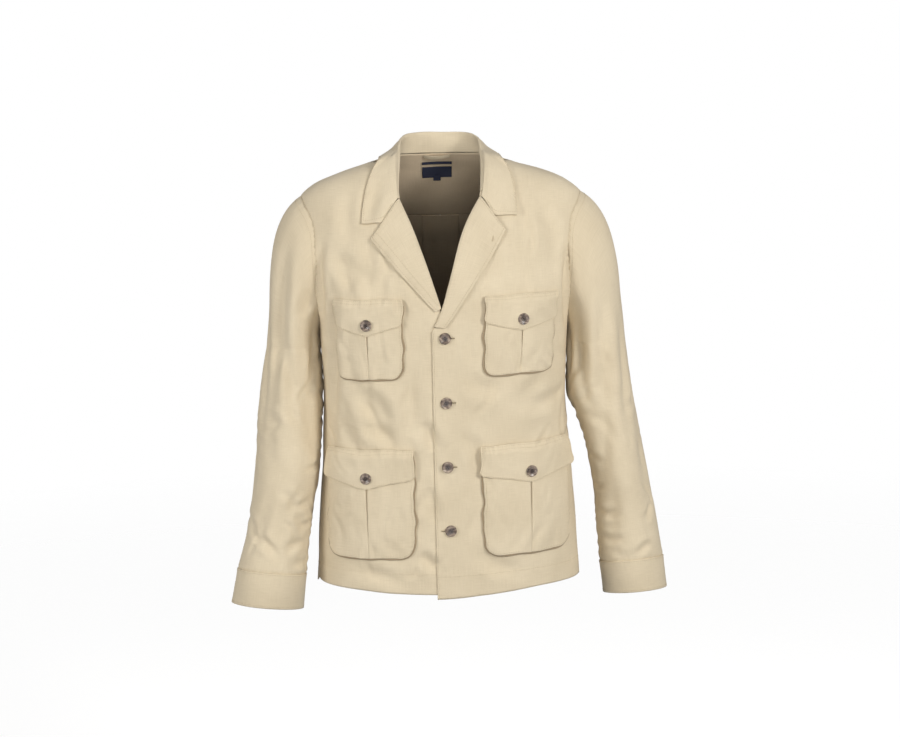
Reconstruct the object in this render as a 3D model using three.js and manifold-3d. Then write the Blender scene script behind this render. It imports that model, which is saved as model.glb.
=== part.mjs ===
// Safari jacket, worn shape with no wearer: a hollow linen shell held at the neck.
// Millimetres, +Z up, the front faces -Y, the wearer's left is +X. The origin is level
// with the neck points, on the centre line, midway between front and back.
import * as THREE from "three";
import { mergeVertices } from "three/addons/utils/BufferGeometryUtils.js";
import Module from "manifold-3d";

const wasm = await Module();
wasm.setup();

// Cloth thicknesses and the gap kept at every seam.
const CLOTH = 1.3;
const DOUBLE = 1.8;
const POCKET_CLOTH = 1.0;
const SEAM = 0.3;

// The body is a stack of level rings. half is the half width, front and back are the
// depths from the shoulder line, and square is the power that rounds the ring's corners.
const BODY = [
  { z: -690, half: 212, front: 136, back: 122, square: 3 },
  { z: -600, half: 207, front: 135, back: 121, square: 3 },
  { z: -530, half: 203, front: 132, back: 117, square: 3 },
  { z: -450, half: 196, front: 130, back: 113, square: 3 },
  { z: -375, half: 192, front: 130, back: 115, square: 3 },
  { z: -262, half: 196, front: 130, back: 124, square: 2.95 },
  { z: -200, half: 210, front: 125, back: 127, square: 2.85 },
  { z: -150, half: 222, front: 115, back: 126, square: 2.7 },
  { z: -100, half: 227, front: 99, back: 117, square: 2.6 },
  { z: -75, half: 227, front: 88, back: 108, square: 2.6 },
  { z: -56, half: 221, front: 78, back: 100, square: 2.6 },
  { z: -38, half: 200, front: 68, back: 91, square: 2.6 },
  { z: -21, half: 161, front: 58, back: 81, square: 2.6 },
  { z: -8, half: 117, front: 50, back: 71, square: 2.6 },
  { z: 5, half: 80, front: 42, back: 62, square: 2.6 },
];
const NECK_Z = 5;
const HEM_BACK = { low: -677, seam: -661, reach: 60 };
const HEM_FRONT_Z = -666;
const SIDE_SEAM_FORWARD = 56;
const YOKE_Z = -97;

// Armhole: a rounded loop from the underarm to the shoulder tip.
const UNDERARM_Z = -262;
const SHOULDER_Z = -54;
const ARMHOLE = { front: 70, back: 68, power: 2.2 };
const ARMHOLE_ROWS = [-261.3, -257, -246, -222, -188, -155, -124, YOKE_Z, -75, -61, -54.7];

// Front opening. "over" is the wearer's left front, which laps over the other.
const FRONT_STRIP = 20;
const OVER_LIFT = 2;
const OVER_FADE = { from: 22, to: 46 };
const HEM_DIP = { over: 12.5, under: 6.5, reach: 150 };
const HEM_RISE = { by: 4.5, from: 90, to: 190 };
const NECK_EDGE = [
  { z: -62, over: 62, under: 68 },
  { z: -40, over: 71, under: 73 },
  { z: -20, over: 77, under: 77 },
  { z: -3, over: 80, under: 80 },
];
const ROLL_LINE = [
  { z: -285, over: -20, under: -20 },
  { z: -262, over: -20, under: -9 },
  { z: -250, over: -13, under: -3 },
  { z: -234, over: -4, under: 4 },
  { z: -212, over: 3, under: 11 },
  { z: -171, over: 15, under: 24 },
  { z: -119, over: 30, under: 42 },
  { z: -78, over: 49, under: 59 },
  { z: -62, over: 62, under: 68 },
];

const LINEN = { color: 0xdccfb0, roughness: 0.92, metalness: 0 };
const HORN = { color: 0x8a6a48, roughness: 0.42, metalness: 0 };
const NAVY = { color: 0x23263a, roughness: 0.8, metalness: 0 };

const jacket = new THREE.Group();

// Rows of a table as objects, with the given column names.
function table(columns, rows) {
  return rows.map((row) => Object.fromEntries(columns.map((key, i) => [key, row[i]])));
}

// Smooth curve through one column of a table, read at any place along another.
function column(rows, key, by = "z") {
  const at = rows.map((row) => row[by]);
  const value = rows.map((row) => row[key]);
  const last = rows.length - 1;
  const rise = at.slice(1).map((a, i) => (value[i + 1] - value[i]) / (a - at[i]));
  const slope = value.map((_, i) => {
    if (i === 0) return rise[0];
    if (i === last) return rise[last - 1];
    const product = rise[i - 1] * rise[i];
    return product <= 0 ? 0 : (2 * product) / (rise[i - 1] + rise[i]);
  });
  return (x) => {
    let i = 0;
    while (i < last - 1 && (x - at[i + 1]) * (at[last] - at[0]) > 0) i++;
    const run = at[i + 1] - at[i];
    const t = clamp((x - at[i]) / run, 0, 1);
    return hermite(t, value[i], slope[i] * run, value[i + 1], slope[i + 1] * run);
  };
}

function hermite(t, a, leaveA, b, reachB) {
  const [t2, t3] = [t * t, t * t * t];
  return (2 * t3 - 3 * t2 + 1) * a + (t3 - 2 * t2 + t) * leaveA
    + (3 * t2 - 2 * t3) * b + (t3 - t2) * reachB;
}

const { clamp, lerp, smoothstep } = THREE.MathUtils;
const vec = (x, y, z) => new THREE.Vector3(x, y, z);
const range = (n) => Array.from({ length: n }, (_, i) => i);

const halfAt = column(BODY, "half");
const depthAt = { front: column(BODY, "front"), back: column(BODY, "back") };

const squareAt = column(BODY, "square");

// How far out a point lies, 1 being on the body skin.
function reachOf(x, y, z) {
  const depth = depthAt[y < 0 ? "front" : "back"](z);
  const square = squareAt(z);
  return (Math.abs(x / halfAt(z)) ** square + Math.abs(y / depth) ** square) ** (1 / square);
}

// Outward direction of the body skin at a point on it.
function skinNormal(x, y, z) {
  const step = 0.25;
  const square = squareAt(z);
  const depth = depthAt[y < 0 ? "front" : "back"](z);
  const slope = (at, size) => (Math.sign(at) * Math.abs(at / size) ** (square - 1)) / size;
  const rise = (reachOf(x, y, z + step) - reachOf(x, y, z - step)) / (2 * step);
  return vec(slope(x, halfAt(z)), slope(y, depth), rise).normalize();
}

// Point on half a ring; angle 0 is the front centre, 180 degrees the back centre.
function ringPoint(z, angle) {
  const [s, c] = [Math.sin(angle), Math.cos(angle)];
  const depth = depthAt[c > 0 ? "front" : "back"](z);
  const power = 2 / squareAt(z);
  return [halfAt(z) * s ** power, -Math.sign(c) * depth * Math.abs(c) ** power];
}

// Length of cloth round half a ring, from the front centre, with the angle for each length.
const RING_STEPS = 180;
const measuredRings = new Map();
function measureRing(z) {
  if (!measuredRings.has(z)) {
    const arcs = [0];
    let [x0, y0] = ringPoint(z, 0);
    for (const i of range(RING_STEPS)) {
      const [x, y] = ringPoint(z, ((i + 1) / RING_STEPS) * Math.PI);
      arcs.push(arcs[i] + Math.hypot(x - x0, y - y0));
      [x0, y0] = [x, y];
    }
    measuredRings.set(z, arcs);
  }
  return measuredRings.get(z);
}

function angleAtArc(z, arc) {
  const arcs = measureRing(z);
  let i = arcs.findIndex((a) => a > arc) - 1;
  if (i < 0) i = RING_STEPS - 1;
  return ((i + (arc - arcs[i]) / (arcs[i + 1] - arcs[i])) / RING_STEPS) * Math.PI;
}

// Arc from the front centre to the first point of a ring that the test accepts.
const NARROW_ENOUGH = 1e-11;
function arcWhere(z, reached) {
  const arcs = measureRing(z);
  let [low, high] = [0, Math.PI];
  while (high - low > NARROW_ENOUGH) {
    const mid = (low + high) / 2;
    if (reached(...ringPoint(z, mid))) high = mid;
    else low = mid;
  }
  const at = (low / Math.PI) * RING_STEPS;
  const i = Math.min(Math.floor(at), RING_STEPS - 1);
  return lerp(arcs[i], arcs[i + 1], at - i);
}

// A point of the skin, by its arc from the front or back centre, moved out by lift.
// side is +1 on the wearer's left; a negative arc lies past the centre line.
function onSkin(side, face, arc, z, lift = 0) {
  const full = measureRing(z)[RING_STEPS];
  const run = Math.abs(arc);
  const [x, y] = ringPoint(z, angleAtArc(z, face === "front" ? run : full - run));
  const point = vec((arc < 0 ? -side : side) * x, y, z);
  return point.addScaledVector(skinNormal(point.x, point.y, z), lift);
}

// A point of the skin straight before or behind a place on the shoulder plane.
function onSkinAtX(x, face, z, lift = 0) {
  const square = squareAt(z);
  const inside = Math.max(0, 1 - Math.abs(x / halfAt(z)) ** square);
  const y = (face === "front" ? -1 : 1) * depthAt[face](z) * inside ** (1 / square);
  return vec(x, y, z).addScaledVector(skinNormal(x, y, z), lift);
}

// Moves a point out of the body until it is at least lift from the skin.
function keepOff(point, lift) {
  if (point.z > NECK_Z) return point;
  const reach = reachOf(point.x, point.y, point.z);
  const foot = vec(point.x / reach, point.y / reach, point.z);
  const normal = skinNormal(foot.x, foot.y, foot.z);
  const off = point.clone().sub(foot).dot(normal);
  return off < lift ? point.addScaledVector(normal, lift - off) : point;
}

// Adds a named mesh with a finish of its own.
function addPiece(name, geometry, finish) {
  const mesh = new THREE.Mesh(geometry, new THREE.MeshStandardMaterial(finish));
  mesh.name = name;
  jacket.add(mesh);
  return mesh;
}

function signedVolume(vertices, faces) {
  return faces.reduce((sum, [a, b, c]) => {
    const cross = vertices[b].clone().cross(vertices[c]);
    return sum + vertices[a].dot(cross) / 6;
  }, 0);
}

// A closed wall between two grids of points; closed joins each row's end to its start.
function wallGeometry(outer, inner, closed = false) {
  const [rows, columns] = [outer.length, outer[0].length];
  const vertices = [...outer.flat(), ...inner.flat()];
  const id = (layer, i, j) => layer * rows * columns + i * columns + (j % columns);
  const faces = [];
  const quad = (a, b, c, d) => faces.push([a, b, c], [a, c, d]);
  const spans = closed ? columns : columns - 1;
  for (const i of range(rows - 1)) {
    for (const j of range(spans)) {
      quad(id(0, i, j), id(0, i, j + 1), id(0, i + 1, j + 1), id(0, i + 1, j));
      quad(id(1, i, j), id(1, i + 1, j), id(1, i + 1, j + 1), id(1, i, j + 1));
    }
  }
  for (const j of range(spans)) {
    quad(id(0, 0, j), id(1, 0, j), id(1, 0, j + 1), id(0, 0, j + 1));
    quad(id(0, rows - 1, j), id(0, rows - 1, j + 1), id(1, rows - 1, j + 1), id(1, rows - 1, j));
  }
  if (!closed) {
    for (const i of range(rows - 1)) {
      quad(id(0, i, 0), id(0, i + 1, 0), id(1, i + 1, 0), id(1, i, 0));
      const j = columns - 1;
      quad(id(0, i, j), id(1, i, j), id(1, i + 1, j), id(0, i + 1, j));
    }
  }
  if (signedVolume(vertices, faces) < 0) faces.forEach((face) => face.reverse());
  const geometry = new THREE.BufferGeometry();
  const places = vertices.flatMap((v) => v.toArray());
  geometry.setAttribute("position", new THREE.Float32BufferAttribute(places, 3));
  geometry.setIndex(faces.flat());
  geometry.computeVertexNormals();
  return geometry;
}

// Cloth with no skin under it: half the thickness each side of a grid of middle points.
function thicken(grid, thickness, closed = false) {
  const [rows, columns] = [grid.length, grid[0].length];
  const at = (i, j) => {
    const place = closed ? (j + columns) % columns : clamp(j, 0, columns - 1);
    return grid[clamp(i, 0, rows - 1)][place];
  };
  const shifted = (distance) => grid.map((row, i) => row.map((point, j) => {
    const along = at(i, j + 1).clone().sub(at(i, j - 1));
    const across = at(i + 1, j).clone().sub(at(i - 1, j));
    return point.clone().addScaledVector(along.cross(across).normalize(), distance);
  }));
  return [shifted(thickness / 2), shifted(-thickness / 2)];
}

function addCloth(name, grid, thickness, closed = false, finish = LINEN) {
  addPiece(name, wallGeometry(...thicken(grid, thickness, closed), closed), finish);
}

// Two lines half a thickness either side of a bent section line, mitred at its corners.
function mitred(line, thickness) {
  const toward = (a, b) => new THREE.Vector2(b.arc - a.arc, b.lift - a.lift).normalize();
  return [1, -1].map((way) => line.map((point, i) => {
    const before = toward(line[Math.max(i - 1, 0)], line[Math.max(i, 1)]);
    const after = toward(line[Math.min(i, line.length - 2)], line[Math.min(i + 1, line.length - 1)]);
    const middle = before.clone().add(after).normalize();
    const reach = (way * thickness) / 2 / Math.max(middle.dot(before), 0.5);
    return { ...point, arc: point.arc - middle.y * reach, lift: point.lift + middle.x * reach };
  }));
}

// How far the armhole is cut forward or back at a height, and where its edge lies.
function armholeDepth(face, z) {
  const middle = (SHOULDER_Z + UNDERARM_Z) / 2;
  const t = Math.abs((z - middle) / ((SHOULDER_Z - UNDERARM_Z) / 2));
  return t >= 1 ? 0 : ARMHOLE[face] * (1 - t ** ARMHOLE.power) ** (1 / ARMHOLE.power);
}

function sideSeamDepth(z) {
  if (z >= UNDERARM_Z) return 0;
  return SIDE_SEAM_FORWARD * ((UNDERARM_Z - z) / (UNDERARM_Z - HEM_FRONT_Z));
}

// Arc from the front or back centre to a panel's outer edge at a height.
function outerArc(face, z) {
  if (face === "front") {
    const y = -Math.max(armholeDepth("front", z), sideSeamDepth(z)) - SEAM / 2;
    return arcWhere(z, (_, at) => at > y);
  }
  const y = (armholeDepth("back", z) || -sideSeamDepth(z)) + SEAM / 2;
  return measureRing(z)[RING_STEPS] - arcWhere(z, (_, at) => at > y);
}

function arcAtX(x, z) {
  const arc = arcWhere(z, (at, y) => at > Math.abs(x) || y > 0);
  return Math.sign(x) * arc;
}

// Fronts: level rows from the hem to the neck point, from the front edge, roll line or
// neck edge out to the side seam, armhole or shoulder seam.
const FRONTS = [
  { name: "front_left", side: 1, lap: "over", lift: OVER_LIFT },
  { name: "front_right", side: -1, lap: "under", lift: 0 },
];
const FRONT_ROWS = [-655, -615, -570, -520, -470, -420, -370, -325, -290, UNDERARM_Z - SEAM / 2];
const SHOULDER_ROWS = [SHOULDER_Z, -45, -35, -25, -15, -4];
const FRONT_SPREAD = [0, 0.155, 0.24, 0.34, 0.44, 0.54, 0.64, 0.74, 0.83, 0.92, 1];

function innerX(lap, z) {
  if (z < ROLL_LINE[0].z) return -FRONT_STRIP;
  const line = z < NECK_EDGE[0].z ? ROLL_LINE : NECK_EDGE;
  return column(line, lap)(z);
}

function lapLift(lift, x) {
  return lift * (1 - smoothstep(x, OVER_FADE.from, OVER_FADE.to));
}

function frontHem(lap, x) {
  const dip = HEM_DIP[lap] * (1 - smoothstep(x, -FRONT_STRIP, HEM_DIP.reach));
  return HEM_FRONT_Z - dip + HEM_RISE.by * smoothstep(x, HEM_RISE.from, HEM_RISE.to);
}

for (const { name, side, lap, lift } of FRONTS) {
  const heights = [HEM_FRONT_Z, ...FRONT_ROWS, ...ARMHOLE_ROWS, ...SHOULDER_ROWS];
  const layers = [0, -CLOTH].map((depth) => heights.map((z, i) => {
    const inner = arcAtX(innerX(lap, z), z);
    const outer = outerArc("front", z);
    return FRONT_SPREAD.map((part) => {
      const arc = lerp(inner, outer, part);
      const level = onSkin(side, "front", arc, z);
      const x = side * level.x;
      const height = i === 0 ? frontHem(lap, x) : z;
      return onSkin(side, "front", arc, height, depth + lapLift(lift, x));
    });
  }));
  addPiece(name, wallGeometry(...layers), LINEN);
}

// Back: one width of cloth with an inverted pleat down the centre.
const PLEAT = { reach: 30, pitch: 1.65, mouth: 0.85 };
const BACK_ROWS = [HEM_BACK.low, -630, -575, -520, -460, -400, -340, -290, UNDERARM_Z - SEAM / 2];
const BACK_SPREAD = [0.16, 0.33, 0.5, 0.67, 0.84, 1];

// The back's hem drops from the side seam towards the back.
function backHem(fromSeam) {
  return lerp(HEM_BACK.seam, HEM_BACK.low, smoothstep(fromSeam, 0, HEM_BACK.reach));
}

function addBack() {
  const level = -CLOTH / 2;
  const heights = [...BACK_ROWS, ...ARMHOLE_ROWS.filter((z) => z < YOKE_Z), YOKE_Z - SEAM / 2];
  const halfLine = [
    { arc: 0, lift: level - 2 * PLEAT.pitch },
    { arc: PLEAT.reach, lift: level - 2 * PLEAT.pitch },
    { arc: PLEAT.reach, lift: level - PLEAT.pitch },
    { arc: PLEAT.mouth, lift: level - PLEAT.pitch },
    { arc: PLEAT.mouth, lift: level },
    { arc: PLEAT.reach, lift: level },
  ];
  const layers = [0, 1].map((layer) => heights.map((z) => {
    const edge = outerArc("back", Math.max(z, HEM_BACK.seam));
    const spread = BACK_SPREAD.map((part) => ({ arc: lerp(PLEAT.reach, edge, part), lift: level }));
    const half = [...halfLine, ...spread];
    const line = [
      ...half.slice(1).reverse().map(({ arc, lift }) => ({ arc: -arc, lift })),
      ...half,
    ];
    return mitred(line, CLOTH)[layer].map(({ arc, lift }) => {
      const height = z === HEM_BACK.low ? backHem(edge - Math.abs(arc)) : z;
      return onSkin(1, "back", arc, height, lift);
    });
  }));
  addPiece("back", wallGeometry(...layers), LINEN);
}
addBack();

// Yoke: level rows from its seam up to the neck, armhole to armhole.
const YOKE_COLUMNS = 17;
function addYoke() {
  const armhole = ARMHOLE_ROWS.filter((z) => z > YOKE_Z);
  const heights = [YOKE_Z + SEAM / 2, ...armhole, ...SHOULDER_ROWS, NECK_Z];
  const layers = [0, -CLOTH].map((lift) => heights.map((z) => range(YOKE_COLUMNS).map((j) => {
    const edge = outerArc("back", z);
    return onSkin(1, "back", lerp(-edge, edge, j / (YOKE_COLUMNS - 1)), z, lift);
  })));
  addPiece("yoke", wallGeometry(...layers), LINEN);
}
addYoke();

// Sleeves: a cap that turns from the armhole into level rings, then rings down to the cuff.
// x and y are a ring's centre, half and deep its half sizes; lean tips its outer side up,
// and CUFF_TILT its front side, more towards the cuff. swell is how far the cap stands out
// at the shoulder, and flare how much it widens into the rings.
const RING = ["z", "x", "y", "half", "deep", "lean"];
const SLEEVES = [
  {
    name: "right", side: -1, swell: 0.82, flare: 0.15,
    rings: table(RING, [
      [-290, 237.9, -6, 42.1, 68, 0],
      [-330, 241.7, -16, 47.3, 66, 0],
      [-371, 244.1, -24, 50.4, 64, 0],
      [-412, 246.8, -31, 52.1, 63, 0],
      [-450, 248.2, -38, 51, 62, 0.02],
      [-490, 252.3, -46, 51.3, 60, 0.04],
      [-538, 260.8, -54, 49.3, 58, 0.07],
      [-585, 269.3, -61, 49.3, 56, 0.09],
      [-641.7, 280.5, -69, 54.5, 56, 0.115],
    ]),
    cuff: table(RING, [
      [-642, 280.5, -69, 54.2, 55.7, 0.115],
      [-672, 285.5, -71, 55.5, 56.5, 0.115],
      [-697, 289.3, -72, 56, 56.5, 0.115],
    ]),
  },
  {
    name: "left", side: 1, swell: 0.75, flare: 0.1,
    rings: table(RING, [
      [-290, 242.2, -6, 46.3, 68, 0],
      [-330, 243.7, -11, 49.2, 66, 0],
      [-371, 246.4, -13, 53.3, 65, 0],
      [-412, 258.5, -14, 48.5, 64, 0.02],
      [-450, 267.5, -15, 46, 63, 0.03],
      [-490, 274.3, -16, 45.2, 62, 0.05],
      [-538, 282, -17, 45.6, 60, 0.06],
      [-590, 288, -19, 48.5, 57, 0.07],
      [-647.7, 294.5, -20, 51, 56, 0.08],
    ]),
    cuff: table(RING, [
      [-648, 294.5, -20, 50.7, 55.7, 0.08],
      [-675, 297.5, -20, 50.5, 56, 0.08],
      [-700, 300, -20, 50.3, 56, 0.08],
    ]),
  },
];
const CAP_END_Z = -290;
const CUFF_Z = -645;
const CUFF_TILT = 0.16;
const SLEEVE_PROUD = 0.6;
const SLEEVE_INSET = 0.5;
const CAP_STEPS = [0.1, 0.24, 0.42, 0.62, 0.82];
// How the cap leaves the armhole and lands on the first ring, at the underarm and at the
// shoulder: shares of the distance between them, outwards, sideways and downwards.
const CAP = {
  underarm: { out: 0.3, down: 0.3, land: 1 },
  shoulder: { down: 0.42, land: 1.2 },
  sideways: 0.3,
  fullness: 0.4,
};

// Armhole loop in order round the sleeve, with a place for each on a ring (0 to 1 turn).
function armholeLoop() {
  const rising = ARMHOLE_ROWS.map((z) => ({ face: "front", z }));
  const falling = [...ARMHOLE_ROWS].reverse().map((z) => ({ face: "back", z }));
  return [...rising, ...falling].map(({ face, z }) => {
    const middle = (SHOULDER_Z + UNDERARM_Z) / 2;
    const y = (face === "front" ? -1 : 1) * armholeDepth(face, z);
    const turn = Math.atan2(y / ARMHOLE[face], (z - middle) / (SHOULDER_Z - middle));
    const shrink = vec(0, Math.sin(turn), Math.cos(turn)).multiplyScalar(SLEEVE_INSET);
    return { face, turn, y: y - shrink.y, z: z - shrink.z };
  });
}

// Point of a level or leaning ring. turn 0 is its outer side, a half turn its inner side.
function sleeveRing({ z, x, y, half, deep, lean }, turn, side, dip = 0) {
  const out = Math.cos(turn) * (half - dip);
  const behind = Math.sin(turn) * (deep - dip);
  const tilt = CUFF_TILT * clamp((z - CAP_END_Z) / (CUFF_Z - CAP_END_Z), 0, 1);
  return vec(side * (x + out), y + behind, z + lean * out - tilt * behind);
}

// Long soft troughs down the sleeves. turn is the place round the sleeve at each end.
const SLEEVE_FOLDS = [
  { name: "right", from: -300, to: -440, turn: -0.55, turnEnd: -0.95, depth: 4, width: 0.3 },
  { name: "right", from: -455, to: -600, turn: -1.5, turnEnd: -0.8, depth: 4, width: 0.3 },
  { name: "right", from: -480, to: -610, turn: 1.9, turnEnd: 1.2, depth: 4, width: 0.35 },
  { name: "left", from: -320, to: -500, turn: -1.0, turnEnd: -1.55, depth: 5, width: 0.32 },
  { name: "left", from: -500, to: -620, turn: -0.75, turnEnd: -1.1, depth: 3.5, width: 0.3 },
  { name: "left", from: -350, to: -560, turn: 1.2, turnEnd: 2.0, depth: 4, width: 0.35 },
];
function sleeveDip(name, turn, z) {
  return SLEEVE_FOLDS.filter((fold) => fold.name === name).reduce((sum, fold) => {
    const along = (z - fold.from) / (fold.to - fold.from);
    if (along <= 0 || along >= 1) return sum;
    const off = (turn - lerp(fold.turn, fold.turnEnd, along)) / fold.width;
    return sum + fold.depth * Math.sin(Math.PI * along) * Math.exp(-off * off);
  }, 0);
}

// One line of points down a sleeve's cap, from the armhole to just above the first ring.
function capLine({ side, swell, flare, rings }, { face, turn, y, z }) {
  const square = squareAt(z);
  const x = halfAt(z) * (1 - Math.abs(y / depthAt[face](z)) ** square) ** (1 / square);
  const start = vec(x, y, z).addScaledVector(skinNormal(x, y, z), SLEEVE_PROUD);
  start.x *= side;
  const end = sleeveRing(rings[0], turn, side);
  const height = (Math.cos(turn) + 1) / 2;
  const reach = start.distanceTo(end);
  const { underarm, shoulder, sideways, fullness } = CAP;
  const outwards = side * lerp(underarm.out, swell, height ** fullness);
  const downwards = -lerp(underarm.down, shoulder.down, height);
  const leave = vec(outwards, Math.sin(turn) * sideways, downwards).multiplyScalar(reach);
  const landing = lerp(underarm.land, shoulder.land, height) * reach;
  const land = vec(side * flare * height * landing, 0, -landing);
  const axes = ["x", "y", "z"];
  const cap = CAP_STEPS.map((t) => (
    vec(...axes.map((k) => hermite(t, start[k], leave[k], end[k], land[k])))));
  return [start, ...cap];
}

function addSleeve(sleeve) {
  const { name, side, rings, cuff } = sleeve;
  const loop = armholeLoop();
  const lines = loop.map((at) => [
    ...capLine(sleeve, at),
    ...rings.map((ring) => sleeveRing(ring, at.turn, side, sleeveDip(name, at.turn, ring.z))),
  ]);
  const grid = lines[0].map((_, i) => lines.map((points) => points[i]));
  const inside = side > 0 ? 0 : 1;
  const lining = thicken(grid, 2 * CLOTH, true)[inside];
  addPiece(`sleeve_${name}`, wallGeometry(grid, lining, true), LINEN);
  const band = cuff.map((ring) => loop.map(({ turn }) => sleeveRing(ring, turn, side)));
  addCloth(`cuff_${name}`, band, DOUBLE, true);
}
SLEEVES.forEach(addSleeve);

// Collar: stations from the back centre to the gorge, then mirrored. Each has its place on
// the neck seam, its fold, its leaf's edge on the body, the fold's radius, the leaf's lift,
// and how soon the leaf drops to its edge.
const COLLAR = table(
  ["seamX", "seamZ", "foldX", "foldY", "foldZ", "edgeX", "edgeZ", "face", "bend", "lift", "drop"],
  [
    [0, 5.8, 0, 71, 38, 0, -13, "back", 2.6, 4, 0.2],
    [30, 5.8, 31, 66, 38, 34, -13, "back", 2.6, 4, 0.2],
    [56, 5.8, 52, 47, 36, 64, -12, "back", 2.6, 4, 0.25],
    [71, 5.8, 61.5, 24, 30, 84, -7, "back", 2.6, 4.2, 0.46],
    [75, 5.8, 63, 14, 26, 90, -5, "back", 2.6, 4.7, 0.5],
    [77.5, 5.8, 64.5, 3, 20.5, 93, -3, "back", 2.6, 5.7, 0.5],
    [78, 5.8, 65, -9, 13, 95, -5.5, "front", 2.4, 5.1, 0.5],
    [77, -3, 65.5, -28, -1, 105.5, -19, "front", 2.2, 3, 0.42],
    [74, -20, 66, -50, -23, 113.5, -42, "front", 2, 3, 0.3],
    [68, -40, 65.5, -67, -43, 118, -70, "front", 1.8, 2.8, 0.2],
    [61.5, -57, 64, -80, -58, 119, -92, "front", 1.6, 2.8, 0.2],
  ],
);
const NOTCH = { x: 84, z: -91 };
// The collar sits a little askew: its front points shift towards the wearer's right and
// the wearer's left one is higher. neck is the share of that shift at the neck.
const COLLAR_SKEW = { x: -4.5, z: 4, full: -92, neck: 0.6 };
const LEAF_PARTS = [0.22, 0.48, 0.74, 1];
const LEAF_BOW = 0.62;

// The leaf's points, from its fold to its edge; at the collar's end it is cut to the notch.
function leafPoints(outBend, edge, { drop, lift, isEnd, skew }) {
  const notchX = NOTCH.x + skew * COLLAR_SKEW.x;
  const notch = onSkinAtX(notchX, "front", NOTCH.z + skew * COLLAR_SKEW.z, lift);
  const bow = outBend.clone().lerp(edge, LEAF_BOW).setZ(lerp(outBend.z, edge.z, drop));
  return LEAF_PARTS.map((t) => {
    const bent = outBend.clone().multiplyScalar((1 - t) ** 2)
      .addScaledVector(bow, 2 * t * (1 - t)).addScaledVector(edge, t * t);
    const cut = t < 0.5 ? outBend.clone().lerp(notch, t * 2) : notch.clone().lerp(edge, 2 * t - 1);
    return keepOff(isEnd ? cut : bent, lift);
  });
}

function collarLine(station, side, isEnd) {
  const { seamX, seamZ, foldX, foldY, foldZ, edgeX, edgeZ, face, bend, lift, drop } = station;
  const skew = side * clamp(edgeZ / COLLAR_SKEW.full, 0, 1);
  const shift = skew * COLLAR_SKEW.x * COLLAR_SKEW.neck;
  const onNeck = onSkinAtX(seamX + shift, foldY > 0 ? "back" : "front", Math.min(seamZ, NECK_Z));
  const seam = vec(onNeck.x, onNeck.y, seamZ);
  const fold = vec(foldX + shift, foldY, foldZ);
  const edgeAt = { x: edgeX + skew * COLLAR_SKEW.x, z: edgeZ + skew * COLLAR_SKEW.z };
  const edge = onSkinAtX(edgeAt.x, face, edgeAt.z, lift);
  const out = vec(edge.x - fold.x, edge.y - fold.y, 0).normalize();
  const low = vec(0, 0, -bend);
  const inBend = fold.clone().addScaledVector(out, -bend).add(low);
  const outBend = fold.clone().addScaledVector(out, bend).add(low);
  const middle = seam.clone().lerp(inBend, 0.5);
  const leaf = leafPoints(outBend, edge, { drop, lift, isEnd, skew });
  return [seam, middle, inBend, fold, keepOff(outBend, lift), ...leaf];
}

function addCollar() {
  const half = (side) => COLLAR.map((station, i) => (
    collarLine(station, side, i === COLLAR.length - 1).map((p) => vec(side * p.x, p.y, p.z))));
  addCloth("collar", [...half(-1).slice(1).reverse(), ...half(1)], DOUBLE);
}
addCollar();

// Lapels: rows from the foot of the roll line up to the gorge, each from the roll line
// to the lapel's outer edge. x and z are on the outer edge; rollZ is on the roll line.
const LAPEL_THICK = 1.6;
const LAPEL_ROWS = {
  over: table(["rollZ", "x", "z"], [
    [-252, 1, -254], [-243, 9, -244], [-220, 27, -218], [-196, 42, -196], [-166, 57, -174.5],
    [-125, 74, -149], [-98, 84.5, -131.5], [-79, 91.5, -119], [-64.5, 97, -109],
  ]),
  under: table(["rollZ", "x", "z"], [
    [-225.5, 13.5, -229.5], [-216, 26, -216], [-200, 38, -202.5], [-166, 62, -176], [-125, 84, -150.5],
    [-98, 96, -136.5], [-79, 104.5, -126], [-65, 110, -119],
  ]),
};
const LAPEL_PARTS = [0.05, 0.22, 0.48, 0.76, 1];
const LAPEL_REST = 2.2;
// The lapel swells off the front, most a little inside its middle and less where narrow.
const LAPEL_BOW = { height: 3, power: 0.7, fullWidth: 60 };
const LAPEL_WRAP = 1.7;

function addLapel({ name, side, lap, lift }) {
  const grid = LAPEL_ROWS[lap].map(({ rollZ, x, z }) => {
    const rollX = innerX(lap, rollZ);
    const swell = LAPEL_BOW.height * Math.min(1, Math.hypot(x - rollX, z - rollZ) / LAPEL_BOW.fullWidth);
    const place = (part, height, off) => {
      const atX = lerp(rollX, x, part);
      const at = lerp(rollZ, z, part);
      const point = onSkinAtX(side * atX, "front", at, height + lapLift(lift, atX));
      return point.add(vec(-side * off, 0, 0));
    };
    const bow = (part) => LAPEL_REST + swell * Math.sin(Math.PI * part ** LAPEL_BOW.power);
    return [
      place(0, -CLOTH / 2, LAPEL_WRAP),
      place(0, LAPEL_REST / 2, LAPEL_WRAP),
      ...LAPEL_PARTS.map((part) => place(part, bow(part), 0)),
    ];
  });
  addCloth(name.replace("front", "lapel"), grid, LAPEL_THICK);
}
FRONTS.forEach(addLapel);

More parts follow.
